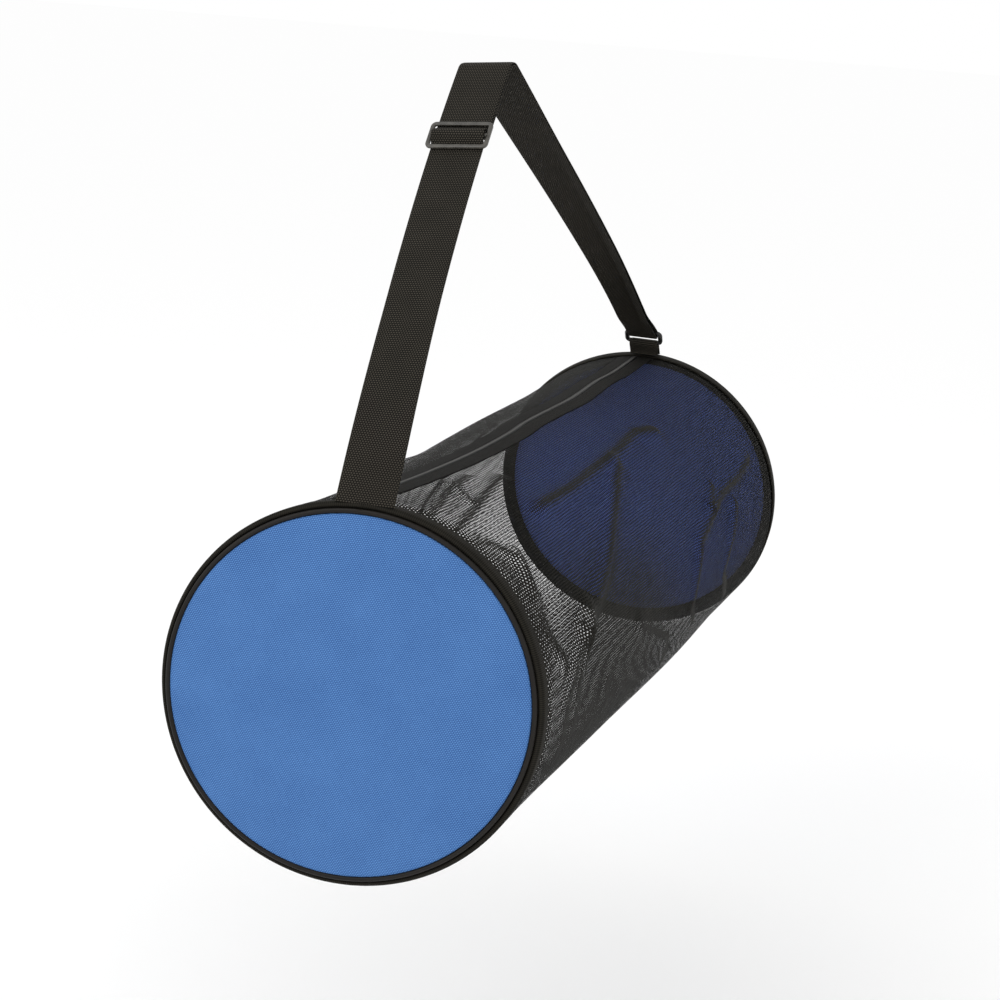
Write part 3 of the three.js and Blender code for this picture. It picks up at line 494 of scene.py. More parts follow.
class Nodes:
    """Short hand for building a material's nodes."""

    def __init__(self, name, shine):
        self.material = bpy.data.materials.new(name)
        self.material.use_nodes = True
        self.tree = self.material.node_tree
        self.shader = self.tree.nodes["Principled BSDF"]
        self.shader.inputs["Specular IOR Level"].default_value = shine

    def add(self, kind, **inputs):
        node = self.tree.nodes.new(kind)
        for key, value in inputs.items():
            self.put(node.inputs[key.replace("_", " ")], value)
        return node

    def put(self, socket, value):
        if isinstance(value, bpy.types.NodeSocket):
            self.tree.links.new(value, socket)
        else:
            socket.default_value = value

    def math(self, operation, *values):
        node = self.tree.nodes.new("ShaderNodeMath")
        node.operation = operation
        for socket, value in zip(node.inputs, values):
            self.put(socket, value)
        return node.outputs[0]

    def uv(self):
        """The place on the cloth in millimetres, across and along."""
        split = self.add("ShaderNodeSeparateXYZ", Vector=self.add("ShaderNodeUVMap").outputs[0])
        return self.math("DIVIDE", split.outputs[0], MM), self.math("DIVIDE", split.outputs[1], MM)

    def place(self, scale):
        """The point on the object, in units of scale millimetres."""
        point = self.add("ShaderNodeTexCoord").outputs["Object"]
        mapping = self.add("ShaderNodeMapping", Vector=point)
        mapping.inputs["Scale"].default_value = [1 / (MM * scale)] * 3
        return mapping.outputs[0]

    def noise(self, scale, detail=3):
        node = self.add("ShaderNodeTexNoise", Vector=self.place(scale), Scale=1.0)
        node.inputs["Detail"].default_value = detail
        node.inputs["Roughness"].default_value = 0.55
        return node.outputs["Fac"]

    def wave(self, place, pitch):
        """A ripple from 0 to 1 with that pitch along a coordinate."""
        turn = self.math("MULTIPLY", place, 2 * math.pi / pitch)
        return self.math("MULTIPLY_ADD", self.math("SINE", turn), 0.5, 0.5)

    def dots(self, across, along, pitches):
        """Rows of dots from 0 to 1, each row shifted by half a dot against the last."""
        places = self.math("DIVIDE", across, pitches[0])
        rows = self.math("DIVIDE", along, pitches[1])
        shifted = self.math("MULTIPLY_ADD", self.math("FLOOR", rows), 0.5, places)
        ridge = self.math("SINE", self.math("MULTIPLY", self.math("FRACT", rows), math.pi))
        bead = self.math("SINE", self.math("MULTIPLY", self.math("FRACT", shifted), math.pi))
        return self.math("MULTIPLY", ridge, bead)

    def span(self, value, low, high, to_low=0.0, to_high=1.0):
        node = self.add("ShaderNodeMapRange", Value=value)
        node.inputs["From Min"].default_value = low
        node.inputs["From Max"].default_value = high
        node.inputs["To Min"].default_value = to_low
        node.inputs["To Max"].default_value = to_high
        return node.outputs[0]

    def patches(self, scale, low, high):
        """Soft patches about scale millimetres wide, from low to high."""
        return self.span(self.noise(scale), 0.2, 0.8, low, high)

    def mix(self, share, first, second):
        node = self.tree.nodes.new("ShaderNodeMix")
        node.data_type = "RGBA"
        self.put(node.inputs["Factor"], share)
        self.put(node.inputs["A"], first)
        self.put(node.inputs["B"], second)
        return node.outputs["Result"]

    def bump(self, height, distance):
        node = self.add("ShaderNodeBump", Height=height)
        node.inputs["Distance"].default_value = distance * MM
        node.inputs["Strength"].default_value = 1.0
        self.put(self.shader.inputs["Normal"], node.outputs[0])

    def set(self, **inputs):
        for key, value in inputs.items():
            self.put(self.shader.inputs[key.replace("_", " ")], value)


def srgb(red, green, blue):
    """Linear colour with alpha from sRGB numbers up to 255."""

    def linear(value):
        share = value / 255
        return share / 12.92 if share <= 0.04045 else ((share + 0.055) / 1.055) ** 2.4

    return (linear(red), linear(green), linear(blue), 1.0)


def panel_cloth(name, dark, light):
    """Plain woven blue cloth: rows of small dots where the threads cross, and a soft mottle."""
    n = Nodes(name, 0.12)
    across, up = n.uv()
    weave = n.dots(across, up, PANEL_WEAVE)
    mottle = n.noise(34)
    streaks = n.add("ShaderNodeTexNoise", Vector=n.place(1), Scale=0.35)
    shade = n.math("MULTIPLY_ADD", weave, 0.8, n.math("MULTIPLY", mottle, 0.2))
    shade = n.math("MULTIPLY_ADD", streaks.outputs["Fac"], 0.12, shade)
    n.set(Base_Color=n.mix(shade, dark, light))
    n.set(Roughness=n.span(weave, 0, 1, 0.6, 0.75))
    n.bump(weave, 0.2)
    return n.material


def piping_cord():
    """Satin covered cord, mottled a little brown at random."""
    n = Nodes("piping cord", 0.2)
    along, round_cord = n.uv()
    twill = n.wave(n.math("ADD", along, round_cord), PIPING_TWILL)
    brown_mottle = n.noise(22)
    n.set(Base_Color=n.mix(brown_mottle, srgb(10, 9, 8), srgb(30, 26, 22)))
    n.set(Roughness=n.span(brown_mottle, 0.3, 0.7, 0.3, 0.42))
    n.bump(twill, 0.05)
    return n.material


def ribbed_tape(name, rib, dark, light):
    """Tape with fine ribs across it and a soft shift of shade."""
    n = Nodes(name, 0.1)
    along, across = n.uv()
    ribs = n.wave(along, rib)
    cells = n.wave(across, rib * 1.3)
    weave = n.math("MULTIPLY_ADD", ribs, 0.75, n.math("MULTIPLY", cells, 0.25))
    shade = n.math("MULTIPLY", weave, n.patches(16, 0.5, 0.9))
    n.set(Base_Color=n.mix(shade, dark, light))
    n.set(Roughness=n.span(weave, 0, 1, 0.7, 0.85))
    n.bump(weave, 0.25)
    return n.material


def webbing():
    """Strap webbing: rows of small raised dots across, each row shifted by half a dot."""
    n = Nodes("webbing", 0.09)
    across, along = n.uv()
    weave = n.dots(across, along, WEBBING_WEAVE)
    dots = n.math("POWER", weave, WEBBING_DOT_FOCUS)
    shade = n.math("MULTIPLY", dots, n.patches(25, 0.7, 1))
    n.set(Base_Color=n.mix(shade, srgb(4, 4, 3), srgb(84, 79, 70)))
    n.set(Roughness=n.span(weave, 0, 1, 0.62, 0.8))
    n.bump(weave, 0.35)
    return n.material


def knitted_net():
    """Open knitted net: rows of holes along the bag, closed up where a fold pinches it."""
    n = Nodes("knitted net", 0.08)
    across, along = n.uv()
    stray = n.math("SUBTRACT", n.noise(12, detail=2), 0.5)
    across = n.math("MULTIPLY_ADD", stray, STRAY_ACROSS, across)
    along = n.math("MULTIPLY_ADD", stray, STRAY_ALONG, along)
    rows = n.math("DIVIDE", across, NET_PITCH * NET_ROW_SHARE)
    shifted = n.math("MULTIPLY_ADD", n.math("FLOOR", rows), 0.5, n.math("DIVIDE", along, NET_PITCH))
    x = n.math("SUBTRACT", n.math("FRACT", shifted), 0.5)
    y = n.math("MULTIPLY", n.math("SUBTRACT", n.math("FRACT", rows), 0.5), NET_ROW_WEIGHT)
    reach = n.math("SQRT", n.math("ADD", n.math("MULTIPLY", x, x), n.math("MULTIPLY", y, y)))
    hole = n.add("ShaderNodeAttribute")
    hole.attribute_name = "hole"
    from_hole = n.math("SUBTRACT", reach, hole.outputs["Fac"])
    crown = n.span(from_hole, 0, THREAD_CROWN)
    lit = n.math("MULTIPLY", crown, n.patches(30, 0.6, 1))
    n.set(Base_Color=n.mix(lit, srgb(6, 6, 6), srgb(34, 33, 29)))
    n.set(Roughness=n.patches(6, 0.6, 0.75), Alpha=n.span(from_hole, -HOLE_EDGE, HOLE_EDGE))
    n.bump(crown, 0.2)
    return n.material


def moulded_plastic(name, dark, light, rough, shine):
    """Moulded plastic with a fine orange-peel skin, rubbed paler here and there."""
    n = Nodes(name, shine)
    rubbed = n.noise(5, detail=5)
    n.set(Base_Color=n.mix(n.span(rubbed, 0.4, 0.75), dark, light))
    n.set(Roughness=n.span(rubbed, 0.3, 0.7, rough - 0.06, rough + 0.08))
    n.bump(n.noise(0.6, detail=2), 0.03)
    return n.material


def zip_coil_nylon():
    """Nylon coil: close turns across it, a painted highlight down its crest where the two sides meet, and
    black beside that.
    """
    n = Nodes("zip coil nylon", 0.1)
    across, along = n.uv()
    turns = n.wave(along, COIL_TURN)
    # A pale stripe down the middle of the coil: a painted highlight on its crest
    crest_highlight = n.span(n.math("ABSOLUTE", across), 0.4, 0.9, 1, 0)
    pale = n.math("MULTIPLY", crest_highlight, n.span(turns, 0, 1, 0.6, 1))
    n.set(Base_Color=n.mix(pale, srgb(5, 5, 5), srgb(80, 78, 74)))
    n.set(Roughness=n.span(turns, 0, 1, 0.42, 0.55))
    n.bump(turns, 0.3)
    return n.material


PANEL = panel_cloth("panel cloth", srgb(22, 62, 122), srgb(98, 146, 206))
# The inside of each panel: the same cloth painted paler, painted light for the light that reaches inside
# the bag
PANEL_INSIDE_PAINTED_PALER = panel_cloth("panel cloth inside painted paler", srgb(66, 82, 146), srgb(104, 124, 192))
PIPING = piping_cord()
BAND = ribbed_tape("rim band tape", BAND_RIB, srgb(5, 5, 4), srgb(50, 47, 40))
ZIP_TAPE = ribbed_tape("zip tape", TAPE_RIB, srgb(6, 6, 5), srgb(34, 32, 28))
COIL = zip_coil_nylon()
WEBBING = webbing()
NET = knitted_net()
HARDWARE = moulded_plastic("black plastic", srgb(10, 10, 10), srgb(34, 33, 31), 0.32, 0.4)
SLIDER_PLASTIC = moulded_plastic("grey plastic", srgb(58, 56, 51), srgb(84, 81, 75), 0.28, 0.5)


def build_panel(name, rim, facing, lean, stretch):
    """A round cloth panel, slightly domed and rippled, with a paler copy of its cloth inside: painted light
    for the light that reaches the inside of the bag.
    """
    radius = rim - PIPING_DIAMETER - GAP
    inner_rings = np.linspace(PANEL_FIRST_RING, PANEL_EDGE_FROM, PANEL_RINGS)
    edge_rings = np.linspace(PANEL_EDGE_FROM + PANEL_EDGE_STEP, 1, PANEL_EDGE_RINGS)
    rings = np.concatenate([inner_rings, edge_rings])
    angle = np.linspace(0, 2 * math.pi, ROUND_STEPS, endpoint=False)
    share, turn = np.meshgrid(rings, angle, indexing="ij")
    x = share * radius * np.sin(turn) * stretch(turn)
    z = share * radius * np.cos(turn) * stretch(turn)
    half = PANEL_THICKNESS / 2
    swell = PANEL_CROWN * (1 - share**4)
    ripple = np.sin(x / PANEL_RIPPLE_ACROSS + 1) * np.sin(z / PANEL_RIPPLE_UP + 0.5)
    ripple *= PANEL_RIPPLE * (1 - share**6)
    front = lean(x, facing * (swell + half) + ripple, z)
    back = lean(x, facing * (swell - half) + ripple, z)
    axis = np.zeros(1)
    middle = lean(axis, axis + facing * (PANEL_CROWN + half), axis)
    behind = lean(axis, axis + facing * (PANEL_CROWN - half), axis)
    rows, columns = x.shape
    count = rows * columns
    points = np.concatenate([front.reshape(-1, 3), back.reshape(-1, 3), middle, behind])
    flat = np.stack([x, z], axis=-1).reshape(-1, 2)
    uvs = np.concatenate([flat, flat, [[0, 0]], [[0, 0]]])
    outward = facing > 0
    faces = grid_faces(rows, columns, 0, ring=True, flip=not outward)
    faces += grid_faces(rows, columns, count, ring=True, flip=outward)
    last = count - columns
    for j in range(columns):
        k = (j + 1) % columns
        edge = (last + j, last + k, count + last + k, count + last + j)
        cap = (2 * count, k, j)
        under = (2 * count + 1, count + j, count + k)
        faces += [face if outward else face[::-1] for face in (edge, cap, under)]
    piece = make_object(name, points, faces, uvs)
    finish_piece(piece, PANEL, "panel_cloth", name.replace("_cloth", ""))
    # The inside faces get the paler cloth, painted light
    piece.data.materials.append(PANEL_INSIDE_PAINTED_PALER)
    sheet_faces = (rows - 1) * columns
    inside = [0] * sheet_faces + [1] * sheet_faces + [0, 0, 1] * columns
    piece.data.polygons.foreach_set("material_index", inside)


def build_piping(name, rim, lean, stretch):
    """The cord sewn round a panel."""
    around = np.linspace(0, 2 * math.pi, ROUND_STEPS, endpoint=False)
    section = np.linspace(0, 2 * math.pi, PIPING_SIDES, endpoint=False)
    half = PIPING_DIAMETER / 2
    turn, side = np.meshgrid(around, section, indexing="ij")
    radius = (rim - half + half * np.cos(side)) * stretch(turn)
    points = lean(radius * np.sin(turn), half * np.sin(side), radius * np.cos(turn))
    uvs = np.stack([turn * rim, side * half], axis=-1).reshape(-1, 2)
    piece = make_object(name, points.reshape(-1, 3), closed_tube_faces(*turn.shape), uvs)
    finish_piece(piece, PIPING, "piping", name.replace("_cord", ""))


def build_band(name, width, from_rim):
    """A ribbed tape round the end of the body, its far edge rolled in a little."""
    places = np.linspace(GAP, width, round((width - GAP) / BAND_STEP) + 1)
    shares = np.sort(from_rim(places / BAG_LENGTH))
    angle = np.linspace(0, 2 * math.pi, ROUND_STEPS + 1)
    along, turn = np.meshgrid(shares, angle, indexing="ij")
    across = np.minimum(along, 1 - along) * BAG_LENGTH
    roll = BAND_ROLL * smoothstep(across, width - BAND_ROLL_WIDTH, width)
    outer = bag_point(along, turn, skin(along, turn) - roll)
    inner = bag_point(along, turn, skin(along, turn) - BAND_THICKNESS)
    piece = make_sheet(name, outer, inner, turn * FRONT_RIM, across)
    finish_piece(piece, BAND, "rim_band", name.replace("_tape", ""))


def build_seam(name, rim, facing, lean, stretch):
    """The binding of the seam inside an end: a flat ring of tape behind the piping."""
    rings = np.linspace(rim - PIPING_DIAMETER - GAP - SEAM_WIDTH, rim + SEAM_PAST_RIM, SEAM_RINGS)
    angle = np.linspace(0, 2 * math.pi, ROUND_STEPS + 1)
    ring, turn = np.meshgrid(rings, angle, indexing="ij")
    radius = ring * stretch(turn)
    x = radius * np.sin(turn)
    z = radius * np.cos(turn)
    depth = PIPING_DIAMETER / 2 + GAP
    near = lean(x, -facing * depth, z)
    far = lean(x, -facing * (depth + SEAM_THICKNESS), z)
    piece = make_sheet(name, near, far, turn * FRONT_RIM, ring)
    finish_piece(piece, BAND, "rim_band")


def from_fold(along, turned, angles, places):
    """How far each place of the net is from a fold's line, and the share of the line there."""
    rim = rim_at(along)
    x = turned * rim
    y = along * BAG_LENGTH
    nearest = np.full_like(x, np.inf)
    run = np.zeros_like(x)
    legs = len(angles) - 1
    for i in range(legs):
        start_x = math.radians(angles[i]) * rim
        start_y = places[i] * BAG_LENGTH
        leg_x = math.radians(angles[i + 1]) * rim - start_x
        leg_y = places[i + 1] * BAG_LENGTH - start_y
        share = ((x - start_x) * leg_x + (y - start_y) * leg_y) / (leg_x * leg_x + leg_y * leg_y)
        share = np.clip(share, 0, 1)
        distance = np.hypot(x - start_x - share * leg_x, y - start_y - share * leg_y)
        run = np.where(distance < nearest, (i + share) / legs, run)
        nearest = np.minimum(nearest, distance)
    return nearest, run


def crowding_and_shade(along, turned):
    """How far bunching and painted shade close the net's holes at each place, from 0 to 1."""
    # Darker net beside the front band and in the listed patches: partly real crowding, partly painted shade
    beyond_front = np.maximum(along * BAG_LENGTH - FRONT_BAND_WIDTH, 0)
    crowd = CROWDED_AND_SHADED_AT_FRONT * np.exp(-((beyond_front / CROWDED_AND_SHADED_REACH) ** 2))
    for middle, place, angle_reach, along_reach, amount in BUNCHED_AND_SHADED:
        away = np.hypot((np.degrees(turned) - middle) / angle_reach, (along - place) / along_reach)
        crowd = np.maximum(crowd, amount * np.exp(-(away**4)))
    return crowd


def fold_lift(along, angle, from_zip):
    """How far the folds lift the net, and how wide its holes are, at each place."""
    turned = np.where(angle > UNDERSIDE, angle - 2 * math.pi, angle)
    clear = beyond_band(along)
    lift = np.zeros_like(turned)
    pinch = np.zeros_like(turned)
    for angles, places, height, width in FOLDS:
        nearest, run = from_fold(along, turned, angles, places)
        taper = smoothstep(run, 0, FOLD_TAPER) * (1 - smoothstep(run, 1 - FOLD_TAPER, 1))
        lift += height * taper * np.exp(-((nearest / width) ** 2))
        closed = taper * np.exp(-((nearest / (PINCH_WIDTH * width)) ** 2))
        pinch = np.maximum(pinch, closed * min(1, height / PINCH_HEIGHT))
    lift *= smoothstep(clear, FOLD_START, FOLD_FULL) * smoothstep(from_zip, 0, FOLD_FULL_AT_ZIP)
    lift *= 1 - FLATTENED * smoothstep(turned, FLAT_FROM, FLAT_FULL)
    pinch *= smoothstep(clear, 0, PINCH_FULL) * smoothstep(from_zip, 0, PINCH_FULL)
    far_side = smoothstep(angle, *STRETCHED_FROM) * (1 - smoothstep(angle, *STRETCHED_UNTIL))
    hole = lerp(NET_HOLE, STRETCHED_HOLE, far_side)
    # Holes close where folds pinch, and where bunching and painted shade close them
    return lift, lerp(hole, PINCHED_HOLE, np.maximum(pinch, crowding_and_shade(along, turned)))


def between_pipings(rows):
    """Shares of the length from just inside one piping to just inside the other."""
    return np.linspace(PIPING_DIAMETER / BAG_LENGTH, 1 - PIPING_DIAMETER / BAG_LENGTH, rows)


def build_net():
    """The net: one wall from zip tape to zip tape round the body."""
    clear = COIL_WIDTH / 2 + TAPE_WIDTH + 2 * GAP
    shares = between_pipings(NET_ROWS)
    start = beside_zip(shares, clear)
    stop = beside_zip(shares, -clear) + 2 * math.pi
    part = np.linspace(0, 1, NET_COLUMNS)
    angle = start[:, None] + (stop - start)[:, None] * part[None, :]
    along = np.repeat(shares[:, None], len(part), axis=1)
    from_zip = np.minimum(angle - start[:, None], stop[:, None] - angle) * rim_at(along)
    lift, hole = fold_lift(along, angle, from_zip)
    radius = skin(along, angle) + lift - tuck(along) - NET_SEAT
    outer = bag_point(along, angle, radius)
    inner = bag_point(along, angle, radius - NET_DEPTH)
    piece = make_sheet("net", outer, inner, angle * FRONT_RIM, along * BAG_LENGTH)
    layer = piece.data.attributes.new("hole", "FLOAT", "POINT")
    layer.data.foreach_set("value", np.concatenate([hole.ravel()] * 2).astype(np.float32))
    finish_piece(piece, NET, "net", "net_wall")


def build_zip():
    """The two tapes of the zip and the closed coil between them."""
    near = COIL_WIDTH / 2 + GAP
    for name, side in (("zip_tape_left", -1), ("zip_tape_right", 1)):
        offsets = np.sort(side * np.linspace(near, near + TAPE_WIDTH, TAPE_COLUMNS))
        along, offset = np.meshgrid(between_pipings(TAPE_ROWS), offsets, indexing="ij")
        angle = beside_zip(along, offset)
        radius = skin(along, angle) - tuck(along)
        outer = bag_point(along, angle, radius)
        inner = bag_point(along, angle, radius - TAPE_THICKNESS)
        piece = make_sheet(name + "_cloth", outer, inner, along * BAG_LENGTH, offset)
        finish_piece(piece, ZIP_TAPE, "zip_tape", name)
    first = (FRONT_BAND_WIDTH + GAP) / BAG_LENGTH
    last = 1 - (REAR_BAND_WIDTH + GAP) / BAG_LENGTH
    shares = np.linspace(first, last, COIL_ROWS)
    along, part = np.meshgrid(shares, np.linspace(-1, 1, COIL_COLUMNS), indexing="ij")
    angle = beside_zip(along, part * COIL_WIDTH / 2)
    top = skin(along, angle) - tuck(along) + COIL_CROWN * (1 - part**4)
    outer = bag_point(along, angle, top)
    inner = bag_point(along, angle, top - COIL_THICKNESS)
    piece = make_sheet("zip_coil_nylon", outer, inner, part * COIL_WIDTH / 2, along * BAG_LENGTH)
    finish_piece(piece, COIL, "zip_coil", "zip_coil")


class Bezier:
    """A cubic curve looked up by its share of the length."""

    def __init__(self, *handles):
        self.handles = [np.array(handle, float) for handle in handles]
        self.t = np.linspace(0, 1, CURVE_STEPS)
        steps = np.linalg.norm(np.diff([self.raw(t) for t in self.t], axis=0), axis=1)
        self.run = np.concatenate([[0], np.cumsum(steps)])
        self.length = self.run[-1]

    def raw(self, t):
        a, b, c, d = self.handles
        return a * (1 - t) ** 3 + 3 * b * t * (1 - t) ** 2 + 3 * c * t * t * (1 - t) + d * t**3

    def at(self, share):
        t = np.interp(share * self.length, self.run, self.t)
        a, b, c, d = self.handles
        slope = (b - a) * (1 - t) ** 2 + 2 * (c - b) * t * (1 - t) + (d - c) * t * t
        return Vector(self.raw(t)), Vector(slope).normalized()


def bar_reach(size, bevel):
    return math.hypot(size / 2, size / 2 - bevel)


class StrapLine:
    """The strap's line from its seat on the front rim, over the bend, down to the ring."""

    def __init__(self):
        half = WEBBING_THICKNESS / 2
        self.ring_reach = bar_reach(RING_WIRE, RING_BEVEL)
        self.across_rear = Vector((1, math.tan(REAR_TURN), 0)).normalized()
        self.ring_up = Vector((0, -math.sin(RING_LEAN), math.cos(RING_LEAN)))
        share = 1 - TAB_FROM_RIM / BAG_LENGTH
        patch = [share - part * TAB_PATCH / BAG_LENGTH for part in (0, 0.25, 0.5, 0.75, 1)]
        top = max(float(skin(place, 0)) for place in patch)
        foot = Vector(bag_point(share, 0, top + GAP + TAB_THICKNESS / 2)) + Vector((RING_SIDE, 0, 0))
        self.tab_foot = foot
        upper = foot + self.ring_up * (TAB_RISE + RING_BAR_PITCH)
        seat_share = (STRAP_SEAT + half) / BAG_LENGTH
        seat = Vector(bag_point(seat_share, 0, float(skin(seat_share, 0)) + GAP)) + Vector((0, 0, half))
        peak = Vector((PEAK_SIDE, PEAK_ALONG * BAG_LENGTH, PEAK_HEIGHT))
        self.across_front = Vector((1, math.tan(FRONT_TURN), 0)).normalized()
        self.across_peak = Vector((math.cos(BEND_TILT), 0, math.sin(BEND_TILT)))
        handle = (upper - peak).length / 3
        chord = (upper - peak).normalized()
        pull = (chord * handle - Vector((REAR_BOW_SIDE, 0, REAR_BOW_UP))).normalized()
        self.ring_clear = self.ring_reach + GAP + half
        end = upper + self.across_rear.cross(pull).normalized() * self.ring_clear
        rear_direction = (end - peak).normalized()
        front_chord = (peak - seat).normalized()
        outward = self.across_front.cross(front_chord).normalized()
        bow = outward * BOW_OUT + Vector((BOW_SIDE, 0, 0))
        leaving = (front_chord + bow).normalized()
        self.arriving = (front_chord - bow).normalized()
        self.bend_angle = self.arriving.angle(rear_direction)
        self.bend_axis = self.arriving.cross(rear_direction).normalized()
        self.bend_top = (self.arriving - rear_direction).normalized()
        self.bend_middle = peak - self.bend_top * BEND_RADIUS
        reach = (peak - seat).length / 3
        start = self.bend_point(0)
        self.front = Bezier(seat, seat + leaving * reach, start - self.arriving * reach, start)
        last = self.bend_point(self.bend_angle)
        self.rear = Bezier(last, last + rear_direction * handle, end - pull * handle, end)
        self.front_run = self.front.length
        self.bend_run = BEND_RADIUS * self.bend_angle
        self.rear_from = self.front_run + self.bend_run
        self.run = self.rear_from + self.rear.length
        self.slider_at = SLIDER_ALONG * self.front_run

    def bend_point(self, turn):
        spoke = Quaternion(self.bend_axis, turn - self.bend_angle / 2) @ self.bend_top
        return self.bend_middle + spoke * BEND_RADIUS

    def at(self, distance):
        if distance <= self.front_run:
            point, along = self.front.at(max(distance, 0) / self.front_run)
            return point + along * min(distance, 0), along
        if distance < self.rear_from:
            turn = (distance - self.front_run) / BEND_RADIUS
            return self.bend_point(turn), Quaternion(self.bend_axis, turn) @ self.arriving
        point, along = self.rear.at(min((distance - self.rear_from) / self.rear.length, 1))
        return point + along * max(distance - self.run, 0), along

    def directions(self, distance):
        """The line's point with its directions along, across and out of the webbing's face."""
        point, along = self.at(distance)
        peak_at = self.front_run + self.bend_run / 2
        to_peak = float(smoothstep(distance, 0, peak_at * TWIST_SHARE))
        to_ring = min(max((distance - peak_at) / (self.run - peak_at), 0), 1)
        across = self.across_front.lerp(self.across_peak, to_peak).lerp(self.across_rear, to_ring)
        across = (across - along * across.dot(along) * (1 - to_ring**2)).normalized()
        return point, along, across, across.cross(along).normalized()

    def point(self, distance, height, place):
        """A point of the webbing: distance along, height over the line, place from -1 to 1."""
        point, along, across, normal = self.directions(distance)
        share = (distance - self.rear_from) / self.rear.length
        crease = 2 * float(look_up(STRAP_CUP, "crease", share)) - 1
        width = WEBBING_WIDTH * float(look_up(STRAP_CUP, "width", share))
        leg = crease + 1 if place < crease else 1 - crease
        drop = WEBBING_WIDTH * float(look_up(STRAP_CUP, "drop", share)) * abs(place - crease) / leg
        side = place * width / 2
        return point + across * side + normal * (height - drop)

    def spread(self, distance):
        share = float(look_up(STRAP_CUP, "spread", (distance - self.rear_from) / self.rear.length))
        return lerp(LAYER_SPREAD_AT_BEND, 2 * self.ring_clear, share)


def around_bar(middle, height, radius, start, stop):
    turns = [lerp(start, stop, i / TURN_STEPS) for i in range(TURN_STEPS + 1)]
    return [(middle + radius * math.sin(turn), height + radius * math.cos(turn)) for turn in turns]


def strap_path(line):
    """The webbing's path: up through the slider, over the bend, round the ring and back."""
    half = WEBBING_THICKNESS / 2
    layer = WEBBING_THICKNESS + GAP
    flat_side = (SLIDER_BAR - SLIDER_THICKNESS) / 2
    bar_height = bar_reach(SLIDER_BAR, flat_side + SLIDER_BEVEL) + GAP + half
    outer_turn = bar_height + layer
    slider = line.slider_at

    def bend_at(radius, depth):
        return (radius + depth * math.cos(SLIDER_CLIMB)) / math.sin(SLIDER_CLIMB)

    outer_bend = bend_at(outer_turn, bar_height)
    inner_bend = bend_at(bar_height, bar_height + LAYER_SPREAD_AT_BEND)

    def between(start, stop, height, step=STRAP_STEP):
        count = max(1, round(abs(stop - start) / step))
        places = [lerp(start, stop, i / count) for i in range(count + 1)]
        return [(place, height(place)) for place in places]

    def level(place):
        return 0

    def lower(place):
        return -line.spread(place)

    clear_of_bars = SLIDER_BAR_PITCH * 2
    ring_drop = line.spread(line.run)
    end_height = -2 * LAYER_SPREAD_AT_BEND
    loop_leaves = -bar_height * math.sin(LOOP_EXIT)
    loop_drop = bar_height + bar_height * math.cos(LOOP_EXIT) - end_height
    path = between(-STRAP_TAIL, slider - clear_of_bars, level)
    path += [(slider - outer_bend - EASE_BEFORE, 0), (slider - outer_bend + EASE_AFTER, EASE_RISE)]
    path += around_bar(slider, bar_height, outer_turn, -SLIDER_CLIMB, SLIDER_CLIMB)
    path += [(slider + outer_bend - EASE_AFTER, EASE_RISE), (slider + outer_bend + EASE_BEFORE, 0)]
    path += between(slider + clear_of_bars, line.front_run, level)[:-1]
    path += between(line.front_run, line.rear_from, level, BEND_STEP)
    path += between(line.rear_from, line.run - line.ring_clear, level)[1:]
    path += around_bar(line.run, -ring_drop / 2, ring_drop / 2, 0, math.pi)
    path += between(line.run - line.ring_clear, line.rear_from, lower)
    path += between(line.rear_from, line.front_run, lower, BEND_STEP)[1:]
    path += between(line.front_run, slider + clear_of_bars, lower)[1:]
    path += [(slider + inner_bend, -LAYER_SPREAD_AT_BEND)]
    path += around_bar(slider, bar_height, bar_height, SLIDER_CLIMB, -LOOP_EXIT)
    path += [(slider + loop_leaves + loop_drop / math.tan(math.pi - LOOP_EXIT), end_height)]
    path += [(slider + SEWN_END, end_height)]
    return path


def build_webbing(name, path, thickness, places, to_space, node):
    """A webbing laid along a flat path, thinner at its edges, with cloth places in its UVs."""
    flat = np.array(path, float)
    steps = np.diff(flat, axis=0)
    lengths = np.linalg.norm(steps, axis=1)
    directions = steps / lengths[:, None]
    before = np.vstack([directions[:1], directions])
    after = np.vstack([directions, directions[-1:]])
    middle = before + after
    middle /= np.linalg.norm(middle, axis=1)[:, None]
    reach = thickness / 2 / np.maximum((middle * after).sum(1), SHARPEST_MITRE)
    run = np.concatenate([[0], np.cumsum(lengths)])
    edge = {place: math.sqrt(max(1 - abs(place) ** EDGE_POWER, EDGE_SHARE)) for place in places}
    faces_of = []
    for side in (1, -1):
        away = np.stack([-middle[:, 1], middle[:, 0]], axis=-1) * side * reach[:, None]
        rows = [[to_space(*(spot + step * edge[p]), p) for p in places] for spot, step in zip(flat, away)]
        faces_of.append(np.array(rows, float))
    place, distance = np.meshgrid(np.array(places), run)
    piece = make_sheet(name, *faces_of, place * WEBBING_WIDTH / 2, distance)
    finish_piece(piece, WEBBING, "webbing", node)


def build_strap(line):
    places = sorted([-WEBBING_EDGE, WEBBING_EDGE] + np.linspace(-1, 1, WEBBING_COLUMNS).tolist())
    path = strap_path(line)
    build_webbing("strap_webbing", path, WEBBING_THICKNESS, places, line.point, "shoulder_strap")


